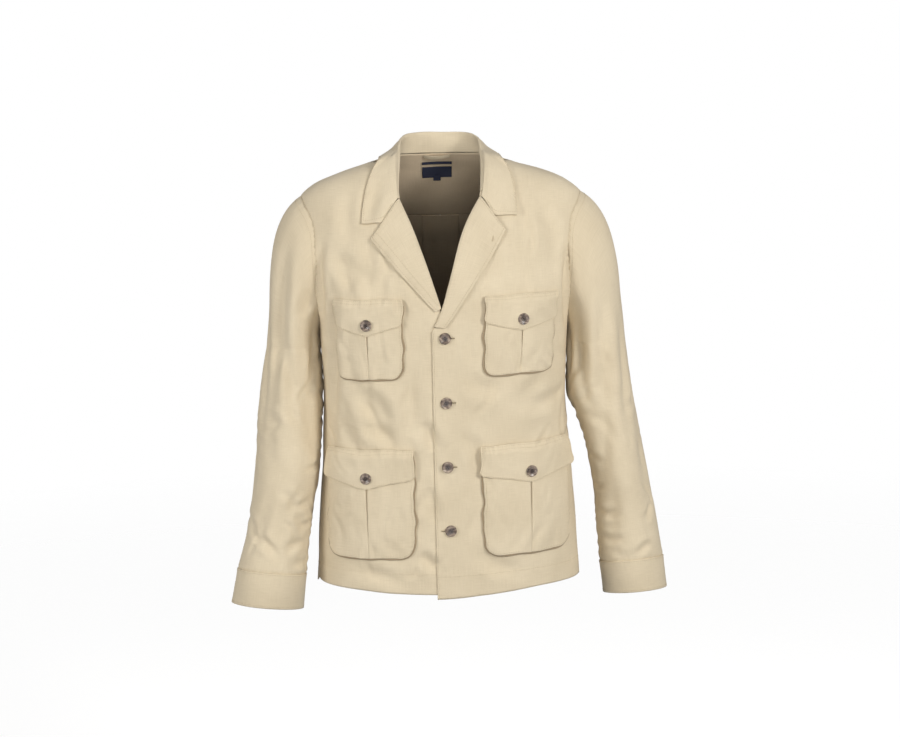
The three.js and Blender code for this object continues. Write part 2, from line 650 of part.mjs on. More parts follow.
// Pockets: bellows patches with an inverted pleat, a folded gusset under their sides and
// bottom, and a pointed flap with a button. arc is the centre's distance round from the
// front centre, top the flap's seam, depth the patch's bottom below it and pleat the depth
// of the pleat; a flap's side and tip are its lengths and button is the button's place.
const PATCH_LIFT = { under: 0.95, fold: 2.25, face: 3.55 };
const PLEAT_MOUTH = 0.7;
const CHEST_FLAP = { width: 109, side: 39, tip: 56, button: 38, columns: 11, flare: 0 };
const HIP_FLAP = { width: 149, side: 45, tip: 62, button: 44, columns: 15, flare: 4 };
const POCKETS = table(
  ["name", "side", "arc", "top", "width", "depth", "corner", "pleat", "flap"],
  [
    ["chest_pocket_right", -1, 118.5, -210, 105, 122, 19, 12, CHEST_FLAP],
    ["chest_pocket_left", 1, 121.5, -206, 113, 121, 19, 12, { ...CHEST_FLAP, width: 118 }],
    ["hip_pocket_right", -1, 125.5, -442, 145, 170, 26, 16, HIP_FLAP],
    ["hip_pocket_left", 1, 128.5, -436, 147, 172, 26, 16, { ...HIP_FLAP, width: 156, flare: 6 }],
  ],
);
const PATCH_TOP = 9;
const PLEAT_CLEAR = 7;
const PATCH_ROWS = [0, 0.22, 0.46, 0.72, 0.93, 1];
// Shares of the patch's flat part, then of its rounded corner, where its columns stand.
const PATCH_SPREAD = { flat: [0, 0.35, 0.7], corner: [0, 0.35, 0.65, 0.87, 1] };
const GUSSET = {
  inset: 1.5, reach: 2.5, corner: 4, under: 0.85, fold: 2.1,
  sides: [0, 0.34, 0.67], bottom: [0.75, 0.5, 0.25],
};

// How far the pocket's bottom rises at a distance from its centre, at its rounded corners.
function cornerRise(distance, width, radius) {
  const into = distance - (width / 2 - radius);
  return into <= 0 ? 0 : radius - Math.sqrt(Math.max(0, radius ** 2 - Math.min(into, radius) ** 2));
}

function addPatch({ name, side, arc, top, width, depth, corner, pleat }) {
  const { under, fold, face } = PATCH_LIFT;
  const straight = width / 2 - corner;
  const half = [
    { arc: 0, lift: under },
    { arc: pleat, lift: under },
    { arc: pleat, lift: fold },
    { arc: PLEAT_MOUTH, lift: fold },
    { arc: PLEAT_MOUTH, lift: face },
    ...PATCH_SPREAD.flat.map((part) => ({ arc: lerp(pleat, straight, part), lift: face })),
    ...PATCH_SPREAD.corner.map((part) => ({ arc: straight + corner * part, lift: face })),
  ];
  const line = [...half.slice(1).reverse().map((p) => ({ arc: -p.arc, lift: p.lift })), ...half];
  const layers = mitred(line, POCKET_CLOTH).map((points) => PATCH_ROWS.map((part) => points.map((p, k) => {
    const hidden = line[k].lift < face ? GUSSET.inset + PLEAT_CLEAR : 0;
    const rise = cornerRise(Math.abs(line[k].arc), width, corner) + hidden;
    const z = top - PATCH_TOP - part * (depth - PATCH_TOP - rise);
    return onSkin(side, "front", arc + p.arc, z, p.lift);
  })));
  addPiece(name, wallGeometry(...layers), LINEN);
}

// Half the gusset's way: down a side, round the corner and along the bottom. s is the
// distance from the pocket's centre line and angle the way its outer edge faces.
function gussetPath({ width, depth, corner }) {
  const flat = width / 2 - corner;
  const side = GUSSET.sides.map((part) => (
    { s: width / 2, z: -PATCH_TOP - part * (depth - PATCH_TOP - corner), angle: 0 }));
  const bend = range(GUSSET.corner + 1).map((i) => {
    const angle = (i / GUSSET.corner) * (Math.PI / 2);
    return { s: flat + corner * Math.cos(angle), z: corner * (1 - Math.sin(angle)) - depth, angle };
  });
  const bottom = GUSSET.bottom.map((part) => ({ s: flat * part, z: -depth, angle: Math.PI / 2 }));
  return [...side, ...bend, ...bottom];
}

function addGusset(pocket) {
  const { name, side, arc, top, depth } = pocket;
  const line = [[-1, "under"], [1, "under"], [1, "fold"], [-1, "fold"]].map(([end, level]) => (
    { arc: end > 0 ? GUSSET.reach : -GUSSET.inset, lift: GUSSET[level] }));
  const section = mitred(line, POCKET_CLOTH);
  const half = gussetPath(pocket);
  const mirrored = half.map(({ s, z, angle }) => ({ s: -s, z, angle: Math.PI - angle })).reverse();
  const path = [...half, { s: 0, z: -depth, angle: Math.PI / 2 }, ...mirrored];
  const layers = section.map((points) => path.map(({ s, z, angle }) => points.map((p) => onSkin(
    side, "front", arc + s + Math.cos(angle) * p.arc, top + z - Math.sin(angle) * p.arc, p.lift))));
  addPiece(name.replace("pocket", "gusset"), wallGeometry(...layers), LINEN);
}

const FLAP_LIFT = { seam: 1.7, clear: 5.7 };
const FLAP_ROWS = [0, 0.13, 0.55, 1];

function addFlap({ name, side, arc, top, flap }) {
  const layers = [0.5, -0.5].map((way) => FLAP_ROWS.map((part, i) => range(flap.columns).map((j) => {
    const across = (j / (flap.columns - 1)) * 2 - 1;
    const length = lerp(flap.tip, flap.side, Math.abs(across));
    const flare = flap.flare * part * Math.max(0, across) ** 3;
    const lift = (i === 0 ? FLAP_LIFT.seam : FLAP_LIFT.clear + flare) + way * DOUBLE;
    return onSkin(side, "front", arc + (across * flap.width) / 2, top - part * length, lift);
  })));
  addPiece(name.replace("pocket", "flap"), wallGeometry(...layers), LINEN);
}

// Buttons: turned horn discs with a raised rim and four sewing holes.
const BUTTON = {
  radius: 9, thick: 3.2, foot: 1.2, belly: 1.4, shoulder: 0.8, rim: 1.8, slope: 1, dish: 0.7,
  hole: 1, holeSpacing: 2.3,
};
const BUTTON_SIDES = 16;
const HOLE_SIDES = 5;

function toSolid(geometry) {
  const bare = geometry.clone();
  bare.deleteAttribute("normal");
  bare.deleteAttribute("uv");
  const merged = mergeVertices(bare, 1e-4);
  return new wasm.Manifold(new wasm.Mesh({
    numProp: 3,
    vertProperties: merged.attributes.position.array,
    triVerts: Uint32Array.from(merged.index.array),
  }));
}

function buttonGeometry() {
  const { radius, thick, foot, belly, shoulder, rim, slope, dish, hole, holeSpacing } = BUTTON;
  const profile = [
    [0, 0], [radius - foot, 0], [radius, belly], [radius - shoulder, thick], [radius - rim, thick],
    [radius - rim - slope, thick - dish], [0, thick - dish],
  ].map(([r, h]) => new THREE.Vector2(r, h));
  let solid = toSolid(new THREE.LatheGeometry(profile, BUTTON_SIDES));
  for (const [x, z] of [[1, 1], [1, -1], [-1, 1], [-1, -1]]) {
    const drill = new THREE.CylinderGeometry(hole, hole, 3 * thick, HOLE_SIDES);
    drill.translate((x * holeSpacing) / 2, thick / 2, (z * holeSpacing) / 2);
    solid = solid.subtract(toSolid(drill));
  }
  const { vertProperties, triVerts } = solid.getMesh();
  const geometry = new THREE.BufferGeometry();
  geometry.setAttribute("position", new THREE.Float32BufferAttribute(vertProperties, 3));
  geometry.setIndex([...triVerts]);
  geometry.computeVertexNormals();
  return geometry;
}

const buttonShape = buttonGeometry();

function addButton(name, side, arc, z, lift) {
  const place = onSkin(side, "front", arc, z, lift);
  const button = addPiece(name, buttonShape, HORN);
  button.position.copy(place);
  button.quaternion.setFromUnitVectors(vec(0, 1, 0), skinNormal(place.x, place.y, place.z));
}

for (const pocket of POCKETS) {
  addPatch(pocket);
  addGusset(pocket);
  addFlap(pocket);
  const { name, side, arc, top, flap } = pocket;
  const lift = FLAP_LIFT.clear + DOUBLE / 2 + SEAM;
  addButton(name.replace("pocket", "flap_button"), side, arc, top - flap.button, lift);
}

const FRONT_BUTTONS = [{ x: 0, z: -270 }, { x: 0, z: -370 }, { x: 0, z: -470 }, { x: 3, z: -570 }];
FRONT_BUTTONS.forEach(({ x, z }, i) => {
  addButton(`front_button_${i + 1}`, 1, arcAtX(x, z), z, OVER_LIFT + SEAM);
});

// Inside the back neck: a hanging loop, a blank label on its backing strip, a size tab.
const NECK_PIECES = [
  { name: "hanger_loop", middle: -4, width: 43, top: 4.5, bottom: -0.5, bow: 5, lift: -2.6 },
  { name: "label_strip", middle: -4, width: 48, top: -8.5, bottom: -12.3, bow: 0, lift: -2.3 },
  { name: "neck_label", middle: -4, width: 48, top: -17, bottom: -34.5, bow: 0, lift: -2.3 },
  { name: "size_tab", middle: -4, width: 12, top: -30.5, bottom: -39, bow: 0, lift: -3.7 },
];
const NECK_PIECE_STEPS = 6;
for (const { name, middle, width, top, bottom, bow, lift } of NECK_PIECES) {
  const layers = [0.5, -0.5].map((way) => [top, bottom].map((z) => range(NECK_PIECE_STEPS + 1).map((j) => {
    const across = (j / NECK_PIECE_STEPS) * 2 - 1;
    const out = lift - bow * (1 - across ** 2) + way * POCKET_CLOTH;
    return onSkin(1, "back", middle + (across * width) / 2, z, out);
  })));
  addPiece(name, wallGeometry(...layers), name === "hanger_loop" ? LINEN : NAVY);
}

export default jacket;
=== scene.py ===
"""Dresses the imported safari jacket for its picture.

The cloth is laid again, finely, on the same body skin as the solids, then creased,
stitched and buttoned. Sizes here are millimetres; meshes are made in metres, with +Z up,
the front facing -Y and the wearer's left at +X.
"""
import logging
import math
from dataclasses import dataclass, field
from enum import Enum
from typing import Callable, Sequence

import bmesh
import bpy
import numpy as np
from mathutils import Matrix, Vector


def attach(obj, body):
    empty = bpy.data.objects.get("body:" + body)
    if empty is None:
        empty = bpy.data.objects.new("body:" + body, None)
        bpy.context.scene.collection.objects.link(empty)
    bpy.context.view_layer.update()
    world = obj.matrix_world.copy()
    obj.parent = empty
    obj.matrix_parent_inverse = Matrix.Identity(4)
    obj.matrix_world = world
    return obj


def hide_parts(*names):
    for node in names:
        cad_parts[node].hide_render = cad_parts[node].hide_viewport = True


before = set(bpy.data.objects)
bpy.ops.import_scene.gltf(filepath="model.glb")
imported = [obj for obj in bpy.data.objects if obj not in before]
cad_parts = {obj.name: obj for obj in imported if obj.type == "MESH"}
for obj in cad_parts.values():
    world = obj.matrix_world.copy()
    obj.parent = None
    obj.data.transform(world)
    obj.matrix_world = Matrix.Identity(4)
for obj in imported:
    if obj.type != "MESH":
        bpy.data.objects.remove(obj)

log = logging.getLogger("safari_jacket")
Array = np.ndarray

MM = 0.001

# Thickness of one layer, of doubled cloth and of a pocket's, the gap at a seam, and how far
# stitches lie over the cloth.
CLOTH = 1.3
DOUBLE = 1.8
POCKET_CLOTH = 1.0
SEAM = 0.3
STITCH_LIFT = 0.1

# How many times their tabled depth or height creases and puckers have.
PRESS = 1.5
PUCKER = 1.8

# Heights of the neck, the yoke's seam, the armholes' ends and the hem.
NECK_Z = 5.0
YOKE_Z = -97.0
UNDERARM_Z = -262.0
SHOULDER_Z = -54.0
HEM_FRONT_Z = -666.0

Colour = tuple[float, float, float, float]
SLOTS = ("linen", "horn", "label_navy")
FINE = 1.0


class Face(Enum):
    """The half of the body that a point lies on, by the sign of its y."""

    FRONT = -1
    BACK = 1


class Lap(Enum):
    """Which front laps over the other; the value is its column in the edge tables."""

    OVER = 1
    UNDER = 2


def blend(low: Array, high: Array, part: Array) -> Array:
    """Return the value a part of the way from low to high."""
    return low + (high - low) * part


def smooth(x: Array, start: float, stop: float) -> Array:
    """Return 0 before start, 1 after stop and a soft rise between."""
    t = np.clip((x - start) / (stop - start), 0.0, 1.0)
    return t * t * (3.0 - 2.0 * t)


def unit(vectors: Array) -> Array:
    """Return vectors of length 1."""
    length = np.linalg.norm(vectors, axis=-1, keepdims=True)
    return vectors / np.maximum(length, 1e-9)


def hermite(t: Array, a: Array, leave_a: Array, b: Array, reach_b: Array) -> Array:
    """Return a cubic from a to b with the given end tangents.

    Args:
        t: the place along it, 0 to 1.
        a: the start.
        leave_a: the tangent at the start.
        b: the end.
        reach_b: the tangent at the end.

    Returns:
        The value at t.
    """
    t2, t3 = t * t, t * t * t
    rise = (2 * t3 - 3 * t2 + 1) * a + (t3 - 2 * t2 + t) * leave_a
    return rise + (3 * t2 - 2 * t3) * b + (t3 - t2) * reach_b


class Curve:
    """A smooth curve through the rows of a short table, with no overshoot."""

    def __init__(self, at: Sequence[float], value: Sequence[float]) -> None:
        """Fit the curve.

        Args:
            at: the rows' places, rising or falling.
            value: the rows' values.
        """
        order = np.argsort(at)
        self.at = np.asarray(at, float)[order]
        self.value = np.asarray(value, float)[order]
        rise = np.diff(self.value) / np.diff(self.at)
        product = rise[:-1] * rise[1:]
        total = np.where(product > 0, rise[:-1] + rise[1:], 1.0)
        inner = np.where(product > 0, 2 * product / total, 0.0)
        self.slope = np.concatenate([rise[:1], inner, rise[-1:]])

    def __call__(self, x: Array) -> Array:
        """Return the curve's value at each x, held level past its ends."""
        x = np.clip(np.asarray(x, float), self.at[0], self.at[-1])
        i = np.clip(np.searchsorted(self.at, x, side="right") - 1, 0, len(self.at) - 2)
        run = self.at[i + 1] - self.at[i]
        t = (x - self.at[i]) / run
        return hermite(t, self.value[i], self.slope[i] * run, self.value[i + 1], self.slope[i + 1] * run)


@dataclass
class BodySkin:
    """The jacket's outer skin, a stack of level rings.

    Each row is a ring's height, half width, front depth, back depth and squareness.
    """

    rows: tuple[tuple[float, ...], ...] = (
        (-690, 212, 136, 122, 3), (-600, 207, 135, 121, 3), (-530, 203, 132, 117, 3),
        (-450, 196, 130, 113, 3), (-375, 192, 130, 115, 3), (-262, 196, 130, 124, 2.95),
        (-200, 210, 125, 127, 2.85), (-150, 222, 115, 126, 2.7), (-100, 227, 99, 117, 2.6),
        (-75, 227, 88, 108, 2.6), (-56, 221, 78, 100, 2.6), (-38, 200, 68, 91, 2.6),
        (-21, 161, 58, 81, 2.6), (-8, 117, 50, 71, 2.6), (5, 80, 42, 62, 2.6),
    )
    armhole_front: float = 70.0
    armhole_back: float = 68.0
    armhole_power: float = 2.2
    seam_forward: float = 56.0
    steps: int = 180
    level_step: float = 2.0

    def __post_init__(self) -> None:
        """Measure the cloth's length round every level of the skin."""
        z, half, front, back, square = (list(c) for c in zip(*self.rows))
        self.half = Curve(z, half)
        self.depths = {Face.FRONT: Curve(z, front), Face.BACK: Curve(z, back)}
        self.square = Curve(z, square)
        self.levels = np.arange(z[0], z[-1] + self.level_step, self.level_step)
        turns = np.linspace(0, 2, 2 * self.steps + 1)
        x, y = self.ring(self.levels[:, None], turns[None, :])
        run = np.hypot(np.diff(x, axis=1), np.diff(y, axis=1))
        self.arcs = np.concatenate([np.zeros((len(self.levels), 1)), np.cumsum(run, axis=1)], axis=1)
        parts = np.linspace(0, 1, 4 * self.steps + 1)
        self.turns = np.array([np.interp(parts * row[-1], row, turns) for row in self.arcs])
        self.full = Curve(self.levels, self.arcs[:, -1])

    def depth(self, y: Array, z: Array) -> Array:
        """Return the ring's depth on the side that y lies on."""
        return np.where(y < 0, self.depths[Face.FRONT](z), self.depths[Face.BACK](z))

    def ring(self, z: Array, turn: Array) -> tuple[Array, Array]:
        """Return a point on half a ring; turn 0 is the front centre, 2 the back centre."""
        whole = np.floor(np.clip(turn, 0, 1.999999))
        t = turn - whole
        quarter = t ** 1.5 / (t ** 1.5 + np.maximum(1 - t, 0) ** 1.5)
        angle = (whole + quarter) * math.pi / 2
        sine, cosine = np.maximum(np.sin(angle), 0), np.cos(angle)
        power = 2 / self.square(z)
        x = self.half(z) * sine ** power
        return x, -np.sign(cosine) * self.depth(-cosine, z) * np.abs(cosine) ** power

    def look_up(self, table: Array, z: Array, column: Array) -> Array:
        """Read a table of levels by height and by column, between its entries."""
        row = np.clip((z - self.levels[0]) / self.level_step, 0, len(self.levels) - 1.001)
        column = np.clip(column, 0, table.shape[1] - 1.001)
        i, j = row.astype(int), column.astype(int)
        a, b = row - i, column - j
        low = table[i, j] * (1 - b) + table[i, j + 1] * b
        high = table[i + 1, j] * (1 - b) + table[i + 1, j + 1] * b
        return low * (1 - a) + high * a

    def reach(self, x: Array, y: Array, z: Array) -> Array:
        """Return how far out a point lies, 1 being on the skin."""
        square = self.square(z)
        total = np.abs(x / self.half(z)) ** square + np.abs(y / self.depth(y, z)) ** square
        return total ** (1 / square)

    def facing(self, points: Array) -> Array:
        """Return the outward direction of the skin at points on it."""
        x, y, z = points[..., 0], points[..., 1], points[..., 2]
        square, half, depth = self.square(z), self.half(z), self.depth(y, z)
        rise = (self.reach(x, y, z + 0.25) - self.reach(x, y, z - 0.25)) / 0.5
        slope_x = np.sign(x) * np.abs(x / half) ** (square - 1) / half
        slope_y = np.sign(y) * np.abs(y / depth) ** (square - 1) / depth
        return unit(np.stack([slope_x, slope_y, rise], axis=-1))

    def point(self, side: float, face: Face, arc: Array, z: Array, lift: Array = 0.0) -> Array:
        """Find points of the skin by their cloth length from a centre line.

        Args:
            side: +1 on the wearer's left, -1 on the right.
            face: the centre line that the arc is measured from.
            arc: length round the skin; negative past the centre line.
            z: height.
            lift: how far out of the skin.

        Returns:
            The points, with x, y and z last.
        """
        arc, z, lift = np.broadcast_arrays(np.asarray(arc, float), np.asarray(z, float), lift)
        part = np.abs(arc) / self.full(z)
        part = part if face is Face.FRONT else 1 - part
        turn = self.look_up(self.turns, z, part * (self.turns.shape[1] - 1))
        x, y = self.ring(z, turn)
        on = np.stack([np.where(arc < 0, -side, side) * x, y, z], axis=-1)
        return on + self.facing(on) * lift[..., None]

    def at_x(self, x: Array, face: Face, z: Array, lift: Array = 0.0) -> Array:
        """Find points of the skin straight before or behind a place.

        Args:
            x: distance from the centre line, wearer's left positive.
            face: front or back.
            z: height.
            lift: how far out of the skin.

        Returns:
            The points, with x, y and z last.
        """
        x, z, lift = np.broadcast_arrays(np.asarray(x, float), np.asarray(z, float), lift)
        square = self.square(z)
        inside = np.maximum(0.0, 1 - np.abs(x / self.half(z)) ** square)
        y = face.value * self.depths[face](z) * inside ** (1 / square)
        on = np.stack([x, y, z], axis=-1)
        return on + self.facing(on) * lift[..., None]

    def arc_where(self, y: Array, z: Array) -> Array:
        """Return the cloth length from the front centre to where the skin is at depth y."""
        cosine = -np.sign(y) * np.abs(y / self.depth(y, z)) ** (self.square(z) / 2)
        angle = np.arccos(np.clip(cosine, -1, 1)) / (math.pi / 2)
        whole = np.floor(np.clip(angle, 0, 1.999999))
        t = angle - whole
        turn = t ** (2 / 3) / (t ** (2 / 3) + np.maximum(1 - t, 0) ** (2 / 3))
        return self.look_up(self.arcs, z, (whole + turn) * self.steps)

    def arc_at_x(self, x: Array, z: Array) -> Array:
        """Return the signed cloth length from the front centre to a place on the front."""
        on = self.at_x(np.abs(x), Face.FRONT, z)
        return np.sign(x) * self.arc_where(on[..., 1] - 1e-9, z)

    def armhole(self, face: Face, z: Array) -> Array:
        """Return how far the armhole is cut forward or back at a height."""
        middle, reach = (SHOULDER_Z + UNDERARM_Z) / 2, (SHOULDER_Z - UNDERARM_Z) / 2
        t = np.minimum(np.abs((z - middle) / reach), 1.0)
        size = self.armhole_front if face is Face.FRONT else self.armhole_back
        return size * (1 - t ** self.armhole_power) ** (1 / self.armhole_power)

    def outer_arc(self, face: Face, z: Array) -> Array:
        """Return the cloth length from a centre line to a panel's outer edge."""
        seam = self.seam_forward * np.maximum(0, UNDERARM_Z - z) / (UNDERARM_Z - HEM_FRONT_Z)
        if face is Face.FRONT:
            return self.arc_where(-np.maximum(self.armhole(face, z), seam) - SEAM / 2, z)
        cut = self.armhole(face, z)
        y = np.where(cut > 0, cut, -seam) + SEAM / 2
        return self.full(z) - self.arc_where(y, z)

    def keep_off(self, points: Array, lift: float) -> Array:
        """Move points out of the body until they are at least lift from the skin."""
        x, y, z = points[..., 0], points[..., 1], points[..., 2]
        reach = np.maximum(self.reach(x, y, z), 1e-6)
        foot = np.stack([x / reach, y / reach, z], axis=-1)
        facing = self.facing(foot)
        off = np.sum((points - foot) * facing, axis=-1)
        need = np.where((off < lift) & (z <= NECK_Z), lift - off, 0.0)
        return points + facing * need[..., None]


@dataclass(frozen=True)
class Crease:
    """One fold pressed into the cloth: a soft trough with a ridge on each side.

    Attributes:
        path: the points it runs through.
        depth: how deep it is at its middle.
        width: half its width.
        ridge: its ridges' height as a part of its depth.
    """

    path: Array
    depth: float
    width: float
    ridge: float = 0.35

    def press(self, points: Array) -> Array:
        """Return how far each point moves out, which is negative in the trough."""
        moved = np.zeros(len(points))
        low, high = self.path.min(axis=0), self.path.max(axis=0)
        near = np.all((points > low - 4 * self.width) & (points < high + 4 * self.width), axis=1)
        if not near.any():
            return moved
        at = points[near]
        run = np.linalg.norm(np.diff(self.path, axis=0), axis=1)
        starts = np.concatenate([[0.0], np.cumsum(run)])
        best = np.full(len(at), 1e9)
        along = np.zeros(len(at))
        for i, length in enumerate(run):
            a, b = self.path[i], self.path[i + 1]
            t = np.clip((at - a) @ (b - a) / max(length * length, 1e-9), 0, 1)
            off = np.linalg.norm(at - (a + t[:, None] * (b - a)), axis=1)
            closer = off < best
            best = np.where(closer, off, best)
            along = np.where(closer, (starts[i] + t * length) / starts[-1], along)
        d = best / self.width
        fade = np.sin(math.pi * np.clip(along, 0.02, 0.98)) ** 0.7
        shape = -np.exp(-d * d) + self.ridge * np.exp(-((d - 1.9) ** 2) / 0.8)
        moved[near] = PRESS * self.depth * fade * shape
        return moved


@dataclass
class Drape:
    """All the creases, and the slight unevenness of cloth that has been worn."""

    creases: list[Crease] = field(default_factory=list)
    waves: int = 14
    seed: int = 7

    def __post_init__(self) -> None:
        """Draw the waves of the unevenness once."""
        random = np.random.default_rng(self.seed)
        length = random.uniform(38, 150, self.waves)
        way = unit(random.normal(size=(self.waves, 3)) * np.array([1.0, 1.0, 0.6]))
        self.numbers = way * (2 * math.pi / length)[:, None]
        self.phases = random.uniform(0, 2 * math.pi, self.waves)
        self.heights = 0.0026 * length

    def press(self, points: Array) -> Array:
        """Return how far out each point moves.

        Args:
            points: places in the cloth as cut, N by 3.

        Returns:
            N distances.
        """
        moved = np.sin(points @ self.numbers.T + self.phases) @ self.heights
        for crease in self.creases:
            moved += crease.press(points)
        return moved


def strew(lay: Callable[[Array, Array], Array], area: tuple[float, float, float, float], count: int,
          seed: int, scale: float = 1.0, slant: float = 0.7, depths: tuple[float, float] = (0.6, 1.6)
          ) -> list[Crease]:
    """Strew short soft creases over a part of the jacket.

    Args:
        lay: returns points at places across and heights.
        area: the least and greatest place across, then the least and greatest height.
        count: how many creases.
        seed: of their places.
        scale: places across to a millimetre.
        slant: how far they may lean from upright, in radians.
        depths: the least and greatest depth.

    Returns:
        The creases.
    """
    random = np.random.default_rng(seed)
    low, high, bottom, top = area
    made = []
    for _ in range(count):
        across, z = random.uniform(low, high), random.uniform(bottom, top)
        angle, length = random.uniform(-slant, slant), random.uniform(22, 75)
        bow = random.normal() * 0.12 * length
        depth, width = random.uniform(*depths), random.uniform(3.6, 8.5)
        part = np.linspace(-0.5, 0.5, 7)
        side = length * part * math.sin(angle) + bow * (1 - 4 * part ** 2) * math.cos(angle)
        drop = length * part * math.cos(angle) - bow * (1 - 4 * part ** 2) * math.sin(angle)
        made.append(Crease(lay(across + side * scale, np.clip(z + drop, bottom, top)), depth, width))
    return made


@dataclass
class Laid:
    """Points of a piece of cloth.

    Attributes:
        place: where each is, N by 3.
        facing: the way each moves when the cloth is creased.
        flat: where each is on the cloth as cut, N by 2.
    """

    place: Array
    facing: Array
    flat: Array

    def puckered(self, run: Array, distance: Array, height: float = 0.32, pitch: float = 8.0,
                 reach: float = 8.0) -> "Laid":
        """Return the cloth drawn up into small ripples along a seam.

        Args:
            run: each point's place along the seam.
            distance: how far it is from the seam.
            height: the ripples'.
            pitch: from ripple to ripple.
            reach: how far from the seam they fade.

        Returns:
            The rippled cloth.
        """
        wave = np.sin(2 * math.pi * run / pitch + 1.9 * np.sin(run / 23.0) + np.sin(run / 9.1))
        fade = np.exp(-((distance / reach) ** 2)) * (0.65 + 0.35 * np.sin(run / 37.0))
        moved = PUCKER * height * wave * fade
        return Laid(self.place + self.facing * moved[:, None], self.facing, self.flat)


class Nodes:
    """A short way to lay out a material's nodes."""

    def __init__(self, name: str) -> None:
        """Start an empty material with its shader.

        Args:
            name: the material's name.
        """
        self.material = bpy.data.materials.new(name)
        self.material.use_nodes = True
        self.tree = self.material.node_tree
        self.shader = self.tree.nodes["Principled BSDF"]

    def add(self, kind: str, inputs: dict[str, object] | None = None, **settings: object) -> bpy.types.Node:
        """Add a node.

        Args:
            kind: the node's type.
            inputs: socket values or the sockets to link, by socket name.
            settings: the node's own properties.

        Returns:
            The node.
        """
        node = self.tree.nodes.new(kind)
        for key, value in settings.items():
            setattr(node, key, value)
        for key, value in (inputs or {}).items():
            self.feed(node.inputs[key], value)
        return node

    def feed(self, socket: bpy.types.NodeSocket, value: object) -> None:
        """Link a socket, or set it."""
        if isinstance(value, bpy.types.NodeSocket):
            self.tree.links.new(value, socket)
        else:
            socket.default_value = value

    def maths(self, operation: str, a: object, b: object = 0.0) -> bpy.types.NodeSocket:
        """Return the socket of a sum, product or the like of two values."""
        node = self.add("ShaderNodeMath", operation=operation)
        self.feed(node.inputs[0], a)
        self.feed(node.inputs[1], b)
        return node.outputs[0]

    def mix(self, part: object, a: object, b: object, blend_type: str = "MIX") -> bpy.types.NodeSocket:
        """Return the socket of a colour mixed of two others."""
        node = self.add("ShaderNodeMix", data_type="RGBA", blend_type=blend_type)
        self.feed(node.inputs[0], part)
        self.feed(node.inputs[6], a)
        self.feed(node.inputs[7], b)
        return node.outputs[2]

    def noise(self, vector: object, scale: float, detail: float = 3.0) -> bpy.types.NodeSocket:
        """Return the socket of a noise pattern's value."""
        node = self.add("ShaderNodeTexNoise", {"Vector": vector, "Scale": scale, "Detail": detail})
        return node.outputs["Fac"]

    def stretch(self, vector: object, scale: tuple[float, float, float]) -> bpy.types.NodeSocket:
        """Return the socket of coordinates scaled on each axis."""
        node = self.add("ShaderNodeMapping", {"Vector": vector, "Scale": scale})
        return node.outputs[0]

    def ramp(self, value: object, stops: Sequence[tuple[float, Colour]]) -> bpy.types.NodeSocket:
        """Return the socket of a colour that is looked up by a value.

        Args:
            value: the value's socket.
            stops: places, 0 to 1, each with its colour.

        Returns:
            The colour's socket.
        """
        node = self.add("ShaderNodeValToRGB", {"Fac": value})
        while len(node.color_ramp.elements) < len(stops):
            node.color_ramp.elements.new(0.5)
        for element, (place, colour) in zip(node.color_ramp.elements, stops):
            element.position, element.color = place, colour
        return node.outputs[0]

    def bump(self, height: object, strength: float = 1.0) -> None:
        """Bump the shader's surface by a height in metres."""
        node = self.add("ShaderNodeBump", {"Height": height, "Strength": strength, "Distance": 1.0})
        self.feed(self.shader.inputs["Normal"], node.outputs[0])

    def set(self, **values: float | Colour) -> None:
        """Set the shader's inputs, named with underscores for spaces."""
        for name, value in values.items():
            self.shader.inputs[name.replace("_", " ")].default_value = value


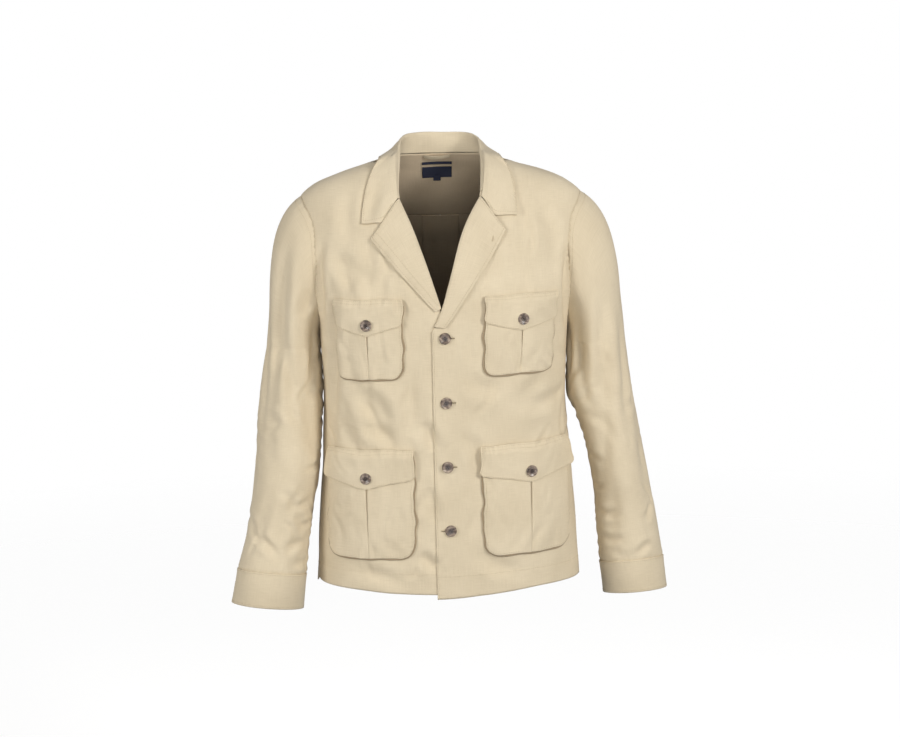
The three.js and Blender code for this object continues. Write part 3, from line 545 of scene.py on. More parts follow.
@dataclass(frozen=True)
class Linen:
    """Slubby plain-weave linen that reads the cloth's own flat coordinates, in metres."""

    name: str = "linen"
    pale: Colour = (0.735, 0.634, 0.464, 1)
    deep: Colour = (0.612, 0.516, 0.362, 1)
    threads: float = 1250.0
    roughness: float = 0.9
    weave_height: float = 0.00009
    crumple_height: float = 0.0014
    # Whether the colour gets painted shade, darker with depth below the neck, for the jacket's inside.
    inside: bool = False

    def make(self) -> bpy.types.Material:
        """Return the material."""
        n = Nodes(self.name)
        cloth = n.add("ShaderNodeUVMap", uv_map="cloth").outputs[0]
        weft = n.noise(n.stretch(cloth, (55, 1300, 1)), 1.0, 3.0)
        warp = n.noise(n.stretch(cloth, (1300, 42, 1)), 1.0, 3.0)
        slubs = n.maths("ADD", n.maths("MULTIPLY", weft, 0.55), n.maths("MULTIPLY", warp, 0.45))
        patches = n.noise(cloth, 14.0, 4.0)
        lines = []
        for axis in ("X", "Y"):
            inputs = {"Vector": cloth, "Scale": self.threads / 20, "Distortion": 0.6, "Detail": 0.0}
            wave = n.add("ShaderNodeTexWave", inputs, wave_type="BANDS", bands_direction=axis)
            lines.append(wave.outputs["Fac"])
        weave = n.maths("MULTIPLY", lines[0], lines[1])
        tone = n.maths("ADD", n.maths("MULTIPLY", slubs, 1.2), n.maths("MULTIPLY", patches, 0.8))
        tone = n.add("ShaderNodeMapRange", {"Value": tone, "From Min": 0.68, "From Max": 1.32}).outputs[0]
        colour = n.mix(tone, self.deep, self.pale)
        if self.inside:
            colour = self.shaded(n, colour)
        n.feed(n.shader.inputs["Base Color"], colour)
        n.set(Roughness=self.roughness, Specular_IOR_Level=0.25, Sheen_Weight=0.12, Sheen_Roughness=0.6)
        crumple = n.noise(cloth, 34.0, 3.5)
        height = n.maths("MULTIPLY", crumple, self.crumple_height)
        height = n.maths("ADD", height, n.maths("MULTIPLY", slubs, 4.0 * self.weave_height))
        height = n.maths("ADD", height, n.maths("MULTIPLY", weave, self.weave_height))
        n.bump(height, 0.55)
        return n.material

    def shaded(self, n: Nodes, colour: bpy.types.NodeSocket) -> bpy.types.NodeSocket:
        """Darken a colour with depth below the neck: painted shade for the inside of the hollow jacket.

        Args:
            n: the material's nodes.
            colour: the cloth's own colour.

        Returns:
            The darker colour's socket.
        """
        here = n.add("ShaderNodeTexCoord").outputs["Object"]
        height = n.add("ShaderNodeSeparateXYZ", {"Vector": here}).outputs["Z"]
        down = n.add("ShaderNodeMapRange", {"Value": height, "From Min": 0.0, "From Max": -0.3}).outputs[0]
        # Painted shade: the cloth's colour is multiplied down from full near the neck to about a third of
        # it deeper inside.
        shades = ((0.09, 1.0), (0.19, 0.82), (0.3, 0.54), (0.43, 0.36), (0.6, 0.4))
        dark = n.ramp(down, [(place, (shade, 0.95 * shade, 0.93 * shade, 1)) for place, shade in shades])
        return n.mix(1.0, colour, dark, "MULTIPLY")


@dataclass(frozen=True)
class PlainFinish:
    """A finish of one cloth or thread colour with a fine grain.

    Attributes:
        name: the material's name.
        pale: its lighter colour.
        deep: its darker colour.
        grain: how many grains to a metre.
        roughness: the shader's roughness.
        height: the grain's height in metres.
    """

    name: str
    pale: Colour
    deep: Colour
    grain: float
    roughness: float
    height: float

    def make(self) -> bpy.types.Material:
        """Return the material."""
        n = Nodes(self.name)
        here = n.add("ShaderNodeTexCoord").outputs["Object"]
        grain = n.noise(n.stretch(here, (self.grain, self.grain, 3 * self.grain)), 1.0, 2.0)
        n.feed(n.shader.inputs["Base Color"], n.mix(grain, self.deep, self.pale))
        n.set(Roughness=self.roughness)
        n.bump(n.maths("MULTIPLY", grain, self.height), 0.6)
        return n.material


@dataclass(frozen=True)
class Horn:
    """Mottled brown horn with a satin polish."""

    name: str = "horn"
    heart: Colour = (0.055, 0.038, 0.034, 1)
    roughness: float = 0.34

    def make(self) -> bpy.types.Material:
        """Return the material."""
        n = Nodes(self.name)
        here = n.add("ShaderNodeTexCoord").outputs["Object"]
        clouds = n.noise(n.stretch(here, (150, 150, 260)), 1.0, 4.0)
        mottle = n.ramp(clouds, (
            (0.33, (0.055, 0.038, 0.030, 1)), (0.45, (0.15, 0.108, 0.083, 1)),
            (0.55, (0.27, 0.205, 0.16, 1)), (0.68, (0.46, 0.37, 0.29, 1))))
        rim = n.add("ShaderNodeAttribute", attribute_name="rim").outputs["Fac"]
        edge = n.add("ShaderNodeMapRange", {"Value": rim, "From Min": 0.3, "From Max": 0.64}).outputs[0]
        n.feed(n.shader.inputs["Base Color"], n.mix(edge, self.heart, mottle))
        n.set(Roughness=self.roughness, Coat_Weight=0.25, Coat_Roughness=0.25)
        fine = n.noise(n.stretch(here, (900, 900, 900)), 1.0, 2.0)
        n.bump(n.maths("MULTIPLY", fine, 0.00004))
        return n.material


def spread_to_edges(u: Array, ease: float = 0.7) -> Array:
    """Return even places crowded towards both ends."""
    return u - ease * np.sin(2 * math.pi * u) / (2 * math.pi)


def grid_area(flat: Array, shape: tuple[int, int]) -> float:
    """Return the area of a piece as cut, from its flat grid, in the grid's units squared."""
    p = flat.reshape(*shape, 2)
    a, b = p[1:, 1:] - p[:-1, :-1], p[1:, :-1] - p[:-1, 1:]
    return float(np.abs(a[..., 0] * b[..., 1] - a[..., 1] * b[..., 0]).sum() / 2)


Lay = Callable[[Array, Array], Laid]


@dataclass
class Tailor:
    """Cuts, lays, creases and sews the pieces, and rides each on the jacket."""

    skin: BodySkin
    drape: Drape
    cloths: dict[str, bpy.types.Material]

    def smooth_skin(self, points: Array) -> Array:
        """Return the skin's outward direction near points that may lie off it."""
        reach = np.maximum(self.skin.reach(points[:, 0], points[:, 1], points[:, 2]), 1e-6)
        foot = points.copy()
        foot[:, 0] /= reach
        foot[:, 1] /= reach
        foot[:, 2] = np.minimum(foot[:, 2], NECK_Z)
        return self.skin.facing(foot)

    def creased(self, laid: Laid) -> Array:
        """Return the places of laid cloth once it is creased."""
        return laid.place + laid.facing * self.drape.press(laid.place)[:, None]

    def finish(self, name: str, mesh_maker: bmesh.types.BMesh, material: str) -> bpy.types.Object:
        """Make an object of a bmesh.

        Args:
            name: the piece's name.
            mesh_maker: its bmesh, in metres, which is freed.
            material: the finish.

        Returns:
            The object.
        """
        mesh = bpy.data.meshes.new(name)
        mesh_maker.to_mesh(mesh)
        mesh_maker.free()
        return self.put(name, mesh, material)

    def put(self, name: str, mesh: bpy.types.Mesh, material: str) -> bpy.types.Object:
        """Make an object of a mesh, ride it on the jacket and give it a finish.

        Args:
            name: the piece's name.
            mesh: its mesh, in metres.
            material: the finish.

        Returns:
            The object.
        """
        mesh.shade_smooth()
        piece = bpy.data.objects.new(name, mesh)
        bpy.context.scene.collection.objects.link(piece)
        mesh.materials.append(self.cloths[material])
        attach(piece, "root")
        material if material in SLOTS else "linen"
        return piece

    def sheet(self, name: str, size: tuple[int, int], lay: Lay, thickness: float, offset: float = -1.0,
              nodes: Sequence[str] = (), tube: bool = False,
              material: str = "linen", painted_shade_inside: bool = False) -> bpy.types.Object:
        """Lay a grid of cloth and give it its thickness.

        Args:
            name: the piece's name.
            size: how many points across and along.
            lay: where the grid's points go, from places 0 to 1 across and along.
            thickness: the cloth's.
            offset: -1 when the grid is the outer side, 0 when it is the middle.
            nodes: the solids that the piece stands for.
            tube: whether the first and last columns meet.
            material: the finish.
            painted_shade_inside: whether its inner side is the linen with painted shade below the neck.

        Returns:
            The piece.
        """
        across, along = (max(4, int(n * FINE)) for n in size)
        made = bmesh.new()
        bmesh.ops.create_grid(made, x_segments=across - 1, y_segments=along - 1, size=0.5)
        at = np.array([v.co[:2] for v in made.verts]) + 0.5
        laid = lay(at[:, 0], at[:, 1])
        places = self.creased(laid)
        for vert, place in zip(made.verts, places * MM):
            vert.co = place
        cloth = made.loops.layers.uv.new("cloth")
        for face in made.faces:
            for loop in face.loops:
                loop[cloth].uv = laid.flat[loop.vert.index] * MM
        made.normal_update()
        ways = np.array([v.normal[:] for v in made.verts])
        if np.sum(ways * laid.facing) < 0:
            bmesh.ops.reverse_faces(made, faces=made.faces)
        if tube:
            bmesh.ops.remove_doubles(made, verts=made.verts, dist=1e-6)
        piece = self.finish(f"{name}_cloth", made, material)
        wall = piece.modifiers.new("wall", "SOLIDIFY")
        wall.thickness, wall.offset = thickness * MM, offset
        wall.use_even_offset = False
        # Its inner faces take the linen with painted shade, darker below the neck.
        if painted_shade_inside:
            piece.data.materials.append(self.cloths["linen_inside_painted_shade"])
            wall.material_offset = 1
        order = np.lexsort((at[:, 0], at[:, 1]))
        width, length = (float(np.ptp(laid.flat[:, k])) * MM for k in (0, 1))
        area = min(grid_area(laid.flat[order], (along, across)) * MM * MM, width * length)
        if nodes:
            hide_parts(*nodes)
        log.info("%s: cloth %.0f x %.0f mm", name, width / MM, length / MM)
        return piece

    def line(self, lay: Lay, u: Array, v: Array, lift: float = STITCH_LIFT) -> tuple[Array, Array]:
        """Return places along a line on a laid piece, and the way the cloth faces there.

        Args:
            lay: the piece's lay.
            u: the line's places across, or its one place.
            v: the line's places along, or its one place.
            lift: how far over the piece's points.

        Returns:
            The places and the directions.
        """
        u, v = (np.asarray(a, float) for a in np.broadcast_arrays(u, v))
        laid = lay(u, v)
        return self.creased(laid) + laid.facing * lift, laid.facing

    def sew(self, name: str, seams: Sequence[tuple[Array, Array]], pitch: float = 3.6,
            length: float = 2.7, size: float = 0.42) -> bpy.types.Object:
        """Sew rows of stitches as one joined piece.

        Args:
            name: the piece's name.
            seams: each row's places and the way out of the cloth at each.
            pitch: from stitch to stitch.
            length: of a stitch.
            size: half a stitch's thickness.

        Returns:
            The piece.
        """
        made = bmesh.new()
        bmesh.ops.create_uvsphere(made, u_segments=5, v_segments=4, radius=1.0)
        bmesh.ops.scale(made, vec=(size, size * 0.8, length / 2), verts=made.verts)
        verts = np.array([v.co[:] for v in made.verts])
        faces = [[v.index for v in f.verts] for f in made.faces]
        made.free()
        places, loops = [], []
        for points, outward in seams:
            run = np.concatenate([[0.0], np.cumsum(np.linalg.norm(np.diff(points, axis=0), axis=1))])
            stops = np.arange(pitch / 2, run[-1], pitch)
            centres = np.stack([np.interp(stops, run, points[:, k]) for k in range(3)], axis=1)
            ahead = np.stack([np.interp(stops + 0.5, run, points[:, k]) for k in range(3)], axis=1)
            out = np.stack([np.interp(stops, run, outward[:, k]) for k in range(3)], axis=1)
            along = unit(ahead - centres + 1e-7)
            across = unit(np.cross(out, along))
            up = np.cross(along, across)
            for c, x, y, z in zip(centres, across, up, along):
                base = len(places) * len(verts)
                places.append(c + verts @ np.stack([x, y, z]))
                loops.extend([base + i for i in face] for face in faces)
        mesh = bpy.data.meshes.new(name)
        mesh.from_pydata((np.concatenate(places) * MM).tolist(), [], loops)
        # The stitches take the thread finish, darker than the cloth: painted shade for each stitch's small
        # shadow and dimple.
        return self.put(name, mesh, "thread")


def smooth_grid(control: Array, u: Array, v: Array) -> Array:
    """Find points on a smooth surface through a grid of points.

    Args:
        control: rows by columns by 3.
        u: places across the columns, 0 to 1.
        v: places along the rows, 0 to 1.

    Returns:
        The points.
    """
    def weights(t: Array) -> Array:
        t2, t3 = t * t, t * t * t
        return np.stack([-t3 + 2 * t2 - t, 3 * t3 - 5 * t2 + 2, -3 * t3 + 4 * t2 + t, t3 - t2]) / 2

    padded = np.pad(control, ((1, 1), (1, 1), (0, 0)), mode="reflect", reflect_type="odd")
    rows, columns = control.shape[:2]
    x, y = np.clip(u, 0, 1) * (columns - 1), np.clip(v, 0, 1) * (rows - 1)
    j, i = np.minimum(x.astype(int), columns - 2), np.minimum(y.astype(int), rows - 2)
    across, along = weights(x - j), weights(y - i)
    total = np.zeros((len(u), 3))
    for a in range(4):
        for b in range(4):
            total += (along[a] * across[b])[:, None] * padded[i + a, j + b]
    return total


def grid_lengths(control: Array) -> tuple[Array, Array]:
    """Return the mean run along the columns and the rows of a grid of points."""
    across = np.linalg.norm(np.diff(control, axis=1), axis=2).mean(axis=0)
    along = np.linalg.norm(np.diff(control, axis=0), axis=2).mean(axis=1)
    return np.concatenate([[0], np.cumsum(across)]), np.concatenate([[0], np.cumsum(along)])


@dataclass
class Fronts:
    """The two fronts, one lapped over the other, with their hems and front edges.

    Attributes:
        strip: how far each front reaches past the centre line.
        over_lift: how far the upper front lies over the skin.
        fade_from: the distance from the centre line where that lift starts to fade.
        fade_to: the distance where it has gone.
        dips: how far the over and the under front's hems drop at the centre.
        dip_reach: how far from the centre line they do.
        hem_width: the turned hem's.
        hem_fade: how far above the hem its dip starts.
        hole_from: the part of the cloth's height where the armhole starts.
        hole_to: the part where it ends.
        roll_rows: heights with both inner edges' x, up to the gorge.
        neck_rows: the same from the gorge to the neck.
    """

    tailor: Tailor
    strip: float = 20.0
    over_lift: float = 2.0
    fade_from: float = 22.0
    fade_to: float = 46.0
    dips: tuple[float, float] = (12.5, 6.5)
    dip_reach: float = 150.0
    hem_width: float = 30.0
    hem_fade: float = 66.0
    hole_from: float = 0.6
    hole_to: float = 0.92
    roll_rows: tuple[tuple[float, float, float], ...] = (
        (-285, -20, -20), (-262, -20, -9), (-250, -13, -3), (-234, -4, 4), (-212, 3, 11),
        (-171, 15, 24), (-119, 30, 42), (-78, 49, 59), (-62, 62, 68))
    neck_rows: tuple[tuple[float, float, float], ...] = (
        (-62, 62, 68), (-40, 71, 73), (-20, 77, 77), (-3, 80, 80))

    def inner_x(self, lap: Lap, z: Array) -> Array:
        """Return where a front's inner edge is at a height."""
        roll = Curve([r[0] for r in self.roll_rows], [r[lap.value] for r in self.roll_rows])
        neck = Curve([r[0] for r in self.neck_rows], [r[lap.value] for r in self.neck_rows])
        open_edge = np.where(z < self.neck_rows[0][0], roll(z), neck(z))
        return np.where(z < self.roll_rows[0][0], -self.strip, open_edge)

    def lap_lift(self, lap: Lap, x: Array) -> Array:
        """Return how far a front lies over the other near its edge."""
        lift = self.over_lift if lap is Lap.OVER else 0.0
        return lift * (1 - smooth(x, self.fade_from, self.fade_to))

    def hem(self, lap: Lap, x: Array) -> Array:
        """Return how far the hem is below its level at the side seam."""
        dip = self.dips[0 if lap is Lap.OVER else 1] * (1 - smooth(x, -self.strip, self.dip_reach))
        return 4.5 * smooth(x, 90, 190) - dip

    def levels(self, v: Array) -> Array:
        """Return heights from the hem to the neck, crowded at the armhole's ends."""
        start, stop = self.hole_from, self.hole_to
        turn = np.clip((v - start) / (stop - start), 0, 1) * math.pi
        hole = (SHOULDER_Z + UNDERARM_Z) / 2 - (SHOULDER_Z - UNDERARM_Z) / 2 * np.cos(turn)
        low = blend(HEM_FRONT_Z, UNDERARM_Z - SEAM / 2, np.clip(v / start, 0, 1))
        high = blend(SHOULDER_Z, -4.0, (v - stop) / (1 - stop))
        hole = np.clip(hole, UNDERARM_Z + 0.1, SHOULDER_Z - 0.05)
        return np.where(v < start, low, np.where(v > stop, high, hole))

    def lay(self, side: int, lap: Lap) -> Lay:
        """Return where one front's cloth lies."""
        skin = self.tailor.skin

        def place(u: Array, v: Array) -> Laid:
            z = self.levels(v)
            inner = skin.arc_at_x(self.inner_x(lap, z), z)
            arc = blend(inner, skin.outer_arc(Face.FRONT, z), spread_to_edges(u, 0.55))
            x = side * skin.point(side, Face.FRONT, arc, z)[:, 0]
            fading = (HEM_FRONT_Z + self.hem_fade - z) / self.hem_fade
            height = z + self.hem(lap, x) * np.clip(fading, 0, 1)
            hem_top = -HEM_FRONT_Z - self.hem_width
            turned = 0.5 * smooth(-height, hem_top - 1, hem_top + 1)
            points = skin.point(side, Face.FRONT, arc, height, self.lap_lift(lap, x) + turned)
            facing = self.tailor.smooth_skin(points)
            laid = Laid(points, facing, np.stack([side * arc, height], axis=-1))
            open_part = np.clip((z - UNDERARM_Z) / 12, 0, 1)
            laid = laid.puckered(height, skin.outer_arc(Face.FRONT, z) - arc, 0.4 * open_part, 9.5, 10.0)
            return laid.puckered(arc, height - HEM_FRONT_Z - self.hem_width, 0.28)

        return place

    def make(self) -> None:
        """Make both fronts and sew their hems and edges."""
        for name, side, lap in (("front_left", 1, Lap.OVER), ("front_right", -1, Lap.UNDER)):
            lay = self.lay(side, lap)
            self.tailor.sheet(name, (96, 230), lay, CLOTH, nodes=[name], painted_shade_inside=True)
            even = np.linspace(0, 1, 200)
            hem = self.hem_width / (UNDERARM_Z - HEM_FRONT_Z) * self.hole_from
            edge = 0.022 if side > 0 else 0.025
            rows = [self.tailor.line(lay, 0.008 + 0.98 * even, hem),
                    self.tailor.line(lay, edge, np.linspace(0.002, 0.6, 300))]
            rows += [self.tailor.line(lay, u, np.linspace(0.605, 0.915, 200)) for u in (0.955, 0.975)]
            self.tailor.sew(f"{name}_stitches", rows)


@dataclass
class Back:
    """The back, with its inverted pleat, and the yoke above it.

    Attributes:
        pleat_reach: how far the pleat's folds lie from the centre line.
        pitch: from one of its layers to the next.
        mouth: half the gap between its outer folds.
        hem_low: the hem's height at the centre.
        hem_seam: the hem's height at the side seams.
        hem_reach: how far from those seams the hem slopes.
        hem_fade: how far above the hem the slope starts.
        hole_from: the part of the cloth's height where the armhole starts.
        hole_turn: how far round the armhole the yoke's seam meets it, in radians.
        yoke_slope: the yoke's cloth along its slope, over its height.
    """

    tailor: Tailor
    pleat_reach: float = 30.0
    pitch: float = 1.65
    mouth: float = 0.85
    hem_low: float = -677.0
    hem_seam: float = -661.0
    hem_reach: float = 60.0
    hem_fade: float = 77.0
    hole_from: float = 0.68
    hole_turn: float = 1.78
    yoke_slope: float = 1.33

    def section(self) -> tuple[Array, Array, Array]:
        """Return half the pleat's section: share of the columns, arc and lift."""
        level = -CLOTH / 2
        arcs = (0, self.pleat_reach, self.pleat_reach, self.mouth, self.mouth, self.pleat_reach)
        folds = (2, 2, 1, 1, 0, 0)
        shares = np.array([0, 0.09, 0.11, 0.2, 0.24, 0.36])
        return shares, np.array(arcs, float), np.array([level - k * self.pitch for k in folds])

    def lay_back(self, u: Array, v: Array) -> Laid:
        """Lay the back, hem to yoke, side to side."""
        skin = self.tailor.skin
        start, top = self.hole_from, YOKE_Z - SEAM / 2
        turn = np.clip((v - start) / (1 - start), 0, 1) * self.hole_turn
        middle, reach = (SHOULDER_Z + UNDERARM_Z) / 2, (SHOULDER_Z - UNDERARM_Z) / 2
        hole = np.clip(middle - reach * np.cos(turn), UNDERARM_Z + 0.1, top)
        hole = np.where(v >= 0.999, top, hole)
        low = blend(self.hem_low, UNDERARM_Z - SEAM / 2, np.clip(v / start, 0, 1))
        z = np.where(v < start, low, hole)
        way = 2 * u - 1
        part = np.abs(way)
        shares, arcs, lifts = self.section()
        edge = skin.outer_arc(Face.BACK, np.maximum(z, self.hem_seam))
        outer = blend(self.pleat_reach, edge, (part - shares[-1]) / (1 - shares[-1]))
        arc = np.where(part > shares[-1], outer, np.interp(part, shares, arcs))
        lift = np.where(part > shares[-1], lifts[-1], np.interp(part, shares, lifts))
        rise = (self.hem_seam - self.hem_low) * (1 - smooth(edge - arc, 0, self.hem_reach))
        height = z + rise * np.clip((self.hem_low + self.hem_fade - z) / self.hem_fade, 0, 1)
        points = skin.point(1, Face.BACK, np.sign(way) * arc, height, lift)
        run = np.concatenate([[0], np.cumsum(np.abs(np.diff(arcs)) + np.abs(np.diff(lifts)))])
        flat = np.where(part > shares[-1], run[-1] + outer - self.pleat_reach, np.interp(part, shares, run))
        flat = np.stack([np.sign(way) * flat, height], axis=-1)
        return Laid(points, self.tailor.smooth_skin(points), flat)

    def lay_yoke(self, u: Array, v: Array) -> Laid:
        """Lay the yoke, its seam to the neck, armhole to armhole."""
        skin = self.tailor.skin
        z = blend(YOKE_Z + SEAM / 2, NECK_Z, v)
        edge = skin.outer_arc(Face.BACK, z)
        arc = blend(-edge, edge, spread_to_edges(u, 0.4))
        points = skin.point(1, Face.BACK, arc, z)
        flat = np.stack([arc, z * self.yoke_slope], axis=-1)
        return Laid(points, self.tailor.smooth_skin(points), flat)

    def make(self) -> None:
        """Make the back and the yoke, and sew the yoke seam and the hem."""
        tailor = self.tailor
        tailor.sheet("back", (190, 210), self.lay_back, CLOTH, offset=0, nodes=["back"], painted_shade_inside=True)
        tailor.sheet("yoke", (150, 46), self.lay_yoke, CLOTH, nodes=["yoke"], painted_shade_inside=True)
        even = np.linspace(0.004, 0.996, 300)
        rows = [tailor.line(self.lay_yoke, even, 0.03)]
        for half in (np.linspace(0.004, 0.32, 120), np.linspace(0.68, 0.996, 120)):
            rows.append(tailor.line(self.lay_back, half, 0.05, CLOTH / 2 + STITCH_LIFT))
        tailor.sew("back_stitches", rows)


@dataclass
class Sleeve:
    """One sleeve with its cuff.

    Each ring is a height, its centre's x and y, its half width, its half depth, and how
    far its outer side leans up.

    Attributes:
        name: left or right.
        side: +1 on the wearer's left.
        rings: the sleeve's rings, from its cap down.
        cuff: the cuff's rings.
        dips: its long troughs.
        creases: its short creases, by turn and height.
        folds: its long folds, by place across and along.
        swell: how far the cap swells out at its top.
        flare: how far it still spreads where it meets the rings.
        tilt: how far the rings' backs hang at the cuff.
        cap_end: the height where the cap meets the rings.
        cap_share: the cap's part of the cloth's length.
        cuff_z: the height where the tilt is full.
        proud: how far the cap's edge lies out of the body's skin.
        inset: how far it lies out of the armhole's edge.
        tuck: how far the sleeve reaches into the cuff.
    """

    tailor: Tailor
    name: str
    side: int
    rings: tuple[tuple[float, ...], ...]
    cuff: tuple[tuple[float, ...], ...]
    dips: tuple[tuple[float, ...], ...]
    creases: tuple[tuple[float, ...], ...]
    folds: tuple[tuple[float, ...], ...]
    swell: float
    flare: float
    tilt: float = 0.16
    cap_end: float = -290.0
    cap_share: float = 0.34
    cuff_z: float = -645.0
    proud: float = -1.7
    inset: float = -1.6
    tuck: float = 4.0

    def ring(self, rows: tuple[tuple[float, ...], ...], z: Array, turn: Array, dip: Array) -> Array:
        """Find points on a ring of the sleeve or cuff.

        Args:
            rows: the table of rings.
            z: the ring's height.
            turn: the place round it; 0 is the outer side, a half turn the inner side.
            dip: how far the cloth is pressed in.

        Returns:
            The points.
        """
        x, y, half, deep, lean = (Curve([r[0] for r in rows], [r[k] for r in rows])(z) for k in range(1, 6))
        out = np.cos(turn) * (half - dip)
        behind = np.sin(turn) * (deep - dip)
        tilt = self.tilt * np.clip((z - self.cap_end) / (self.cuff_z - self.cap_end), 0, 1)
        return np.stack([self.side * (x + out), y + behind, z + lean * out - tilt * behind], axis=-1)

    def dip(self, turn: Array, z: Array) -> Array:
        """Return how deep the long troughs are at a place."""
        turn = (turn + math.pi) % (2 * math.pi) - math.pi
        total = np.zeros_like(turn)
        for start, stop, turn_a, turn_b, depth, width in self.dips:
            along = np.clip((z - start) / (stop - start), 0, 1)
            off = (turn - blend(turn_a, turn_b, along)) / width
            total += depth * np.sin(math.pi * along) * np.exp(-off * off)
        return total

    def hole(self, turn: Array) -> Array:
        """Return points on the armhole's loop."""
        skin = self.tailor.skin
        power = skin.armhole_power
        sine, cosine = np.sin(turn), np.cos(turn)
        reach = (np.abs(sine) ** power + np.abs(cosine) ** power) ** (-1 / power)
        middle, half = (SHOULDER_Z + UNDERARM_Z) / 2, (SHOULDER_Z - UNDERARM_Z) / 2
        size = np.where(sine < 0, skin.armhole_front, skin.armhole_back)
        y = size * sine * reach - self.inset * sine
        z = middle + half * cosine * reach - self.inset * cosine
        square = skin.square(z)
        x = skin.half(z) * (1 - np.abs(y / skin.depth(y, z)) ** square) ** (1 / square)
        on = np.stack([x, y, z], axis=-1)
        on = on + skin.facing(on) * self.proud
        return on * np.array([self.side, 1, 1])

    def lay_sleeve(self, u: Array, v: Array) -> Laid:
        """Lay the sleeve, armhole to cuff seam, round from the underarm."""
        turn = (2 * u + 1) * math.pi
        share = self.cap_share
        z = blend(self.cap_end, self.rings[-1][0] - self.tuck, np.clip((v - share) / (1 - share), 0, 1))
        start = self.hole(turn)
        end = self.ring(self.rings, np.full_like(u, self.cap_end), turn, np.zeros_like(u))
        height = (np.cos(turn) + 1) / 2
        reach = np.linalg.norm(end - start, axis=1)
        out_part = self.side * blend(0.3, self.swell, height ** 0.4)
        leave = np.stack([out_part, 0.3 * np.sin(turn), -blend(0.3, 0.42, height)], -1) * reach[:, None]
        landing = blend(1, 1.2, height) * reach
        land = np.stack([self.side * self.flare * height * landing, 0 * u, -landing], -1)
        cap = hermite(np.clip(v / share, 0, 1)[:, None], start, leave, end, land)
        tucked = 1.7 * smooth(self.rings[-1][0] + 3 - z, 0, 3)
        tube = self.ring(self.rings, z, turn, self.dip(turn, z) + tucked)
        points = np.where((v < share)[:, None], cap, tube)
        middle = np.stack([self.side * 250 + 0 * u, 0 * u - 10, points[:, 2]], -1)
        out = points - np.where((v < share)[:, None], middle - [[self.side * 40, 0, 0]], middle)
        rows = self.rings
        for k, axis in ((1, 0), (2, 1)):
            centre = Curve([r[0] for r in rows], [r[k] for r in rows])(z) * (self.side if axis == 0 else 1)
            out[:, axis] = np.where(v < share, out[:, axis], points[:, axis] - centre)
        out[:, 2] = np.where(v < share, np.maximum(0, points[:, 2] + 150) * 0.8, 0)
        laid = Laid(points, unit(out), np.stack([turn * 55, z + 130 * np.clip(1 - v / share, 0, 1)], -1))
        laid = laid.puckered(turn * 62, v * 420, 0.4, 9.0, 11.0)
        from_inner = math.pi - np.abs((turn + math.pi) % (2 * math.pi) - math.pi)
        laid = laid.puckered(z, from_inner * 50, 0.5, 19.0, 15.0)
        return laid.puckered(turn * 50, z - self.rings[-1][0], 0.35, 9.0, 9.0)

    def lay_cuff(self, u: Array, v: Array) -> Laid:
        """Lay the cuff, seam to edge."""
        turn = (2 * u + 1) * math.pi
        z = blend(self.cuff[0][0], self.cuff[-1][0], v)
        points = self.ring(self.cuff, z, turn, np.zeros_like(u))
        centre = self.ring(self.cuff, z, turn, np.full_like(u, 20.0))
        laid = Laid(points, unit(points - centre), np.stack([turn * 55, z], -1))
        return laid.puckered(turn * 50, (1 - np.abs(2 * v - 1)) * 26, 0.3, 7.0, 7.0)

    def on_tube(self, turn: Array, z: Array) -> Array:
        """Return points on the sleeve below its cap."""
        return self.ring(self.rings, z, turn, self.dip(turn, z))

    def crease(self, row: tuple[float, ...], on_sleeve: Callable[[Array, Array], Array]) -> Crease:
        """Return one crease or fold from its row of a table.

        Args:
            row: its depth and half width, then its places.
            on_sleeve: returns the points at such places.

        Returns:
            The crease.
        """
        depth, width, *places = row
        at = np.array(places, float)
        part = np.linspace(0, len(at) - 1, 9)
        return Crease(on_sleeve(*(np.interp(part, range(len(at)), at[:, k]) for k in (0, 1))), depth, width)

    def make(self) -> None:
        """Make the sleeve and the cuff, and sew the cuff's edges."""
        drape = Drape([self.crease(row, self.on_tube) for row in self.creases])
        drape.creases += [self.crease(row, lambda u, v: self.lay_sleeve(u, v).place) for row in self.folds]
        drape.creases += strew(self.on_tube, (-math.pi, math.pi, -640, -300), 52 - 20 * self.side,
                               11 + self.side, scale=0.02, slant=1.1)
        tailor = Tailor(self.tailor.skin, drape, self.tailor.cloths)
        tailor.sheet(f"sleeve_{self.name}", (120, 190), self.lay_sleeve, CLOTH, tube=True,
                     nodes=[f"sleeve_{self.name}"])
        tailor.sheet(f"cuff_{self.name}", (120, 26), self.lay_cuff, DOUBLE, offset=0, tube=True,
                     nodes=[f"cuff_{self.name}"])
        even = np.linspace(0, 1, 160)
        rows = [tailor.line(self.lay_cuff, even, v, DOUBLE / 2 + STITCH_LIFT) for v in (0.04, 0.93)]
        rows.append(tailor.line(self.lay_sleeve, even, 0.02))
        tailor.sew(f"cuff_{self.name}_stitches", rows)


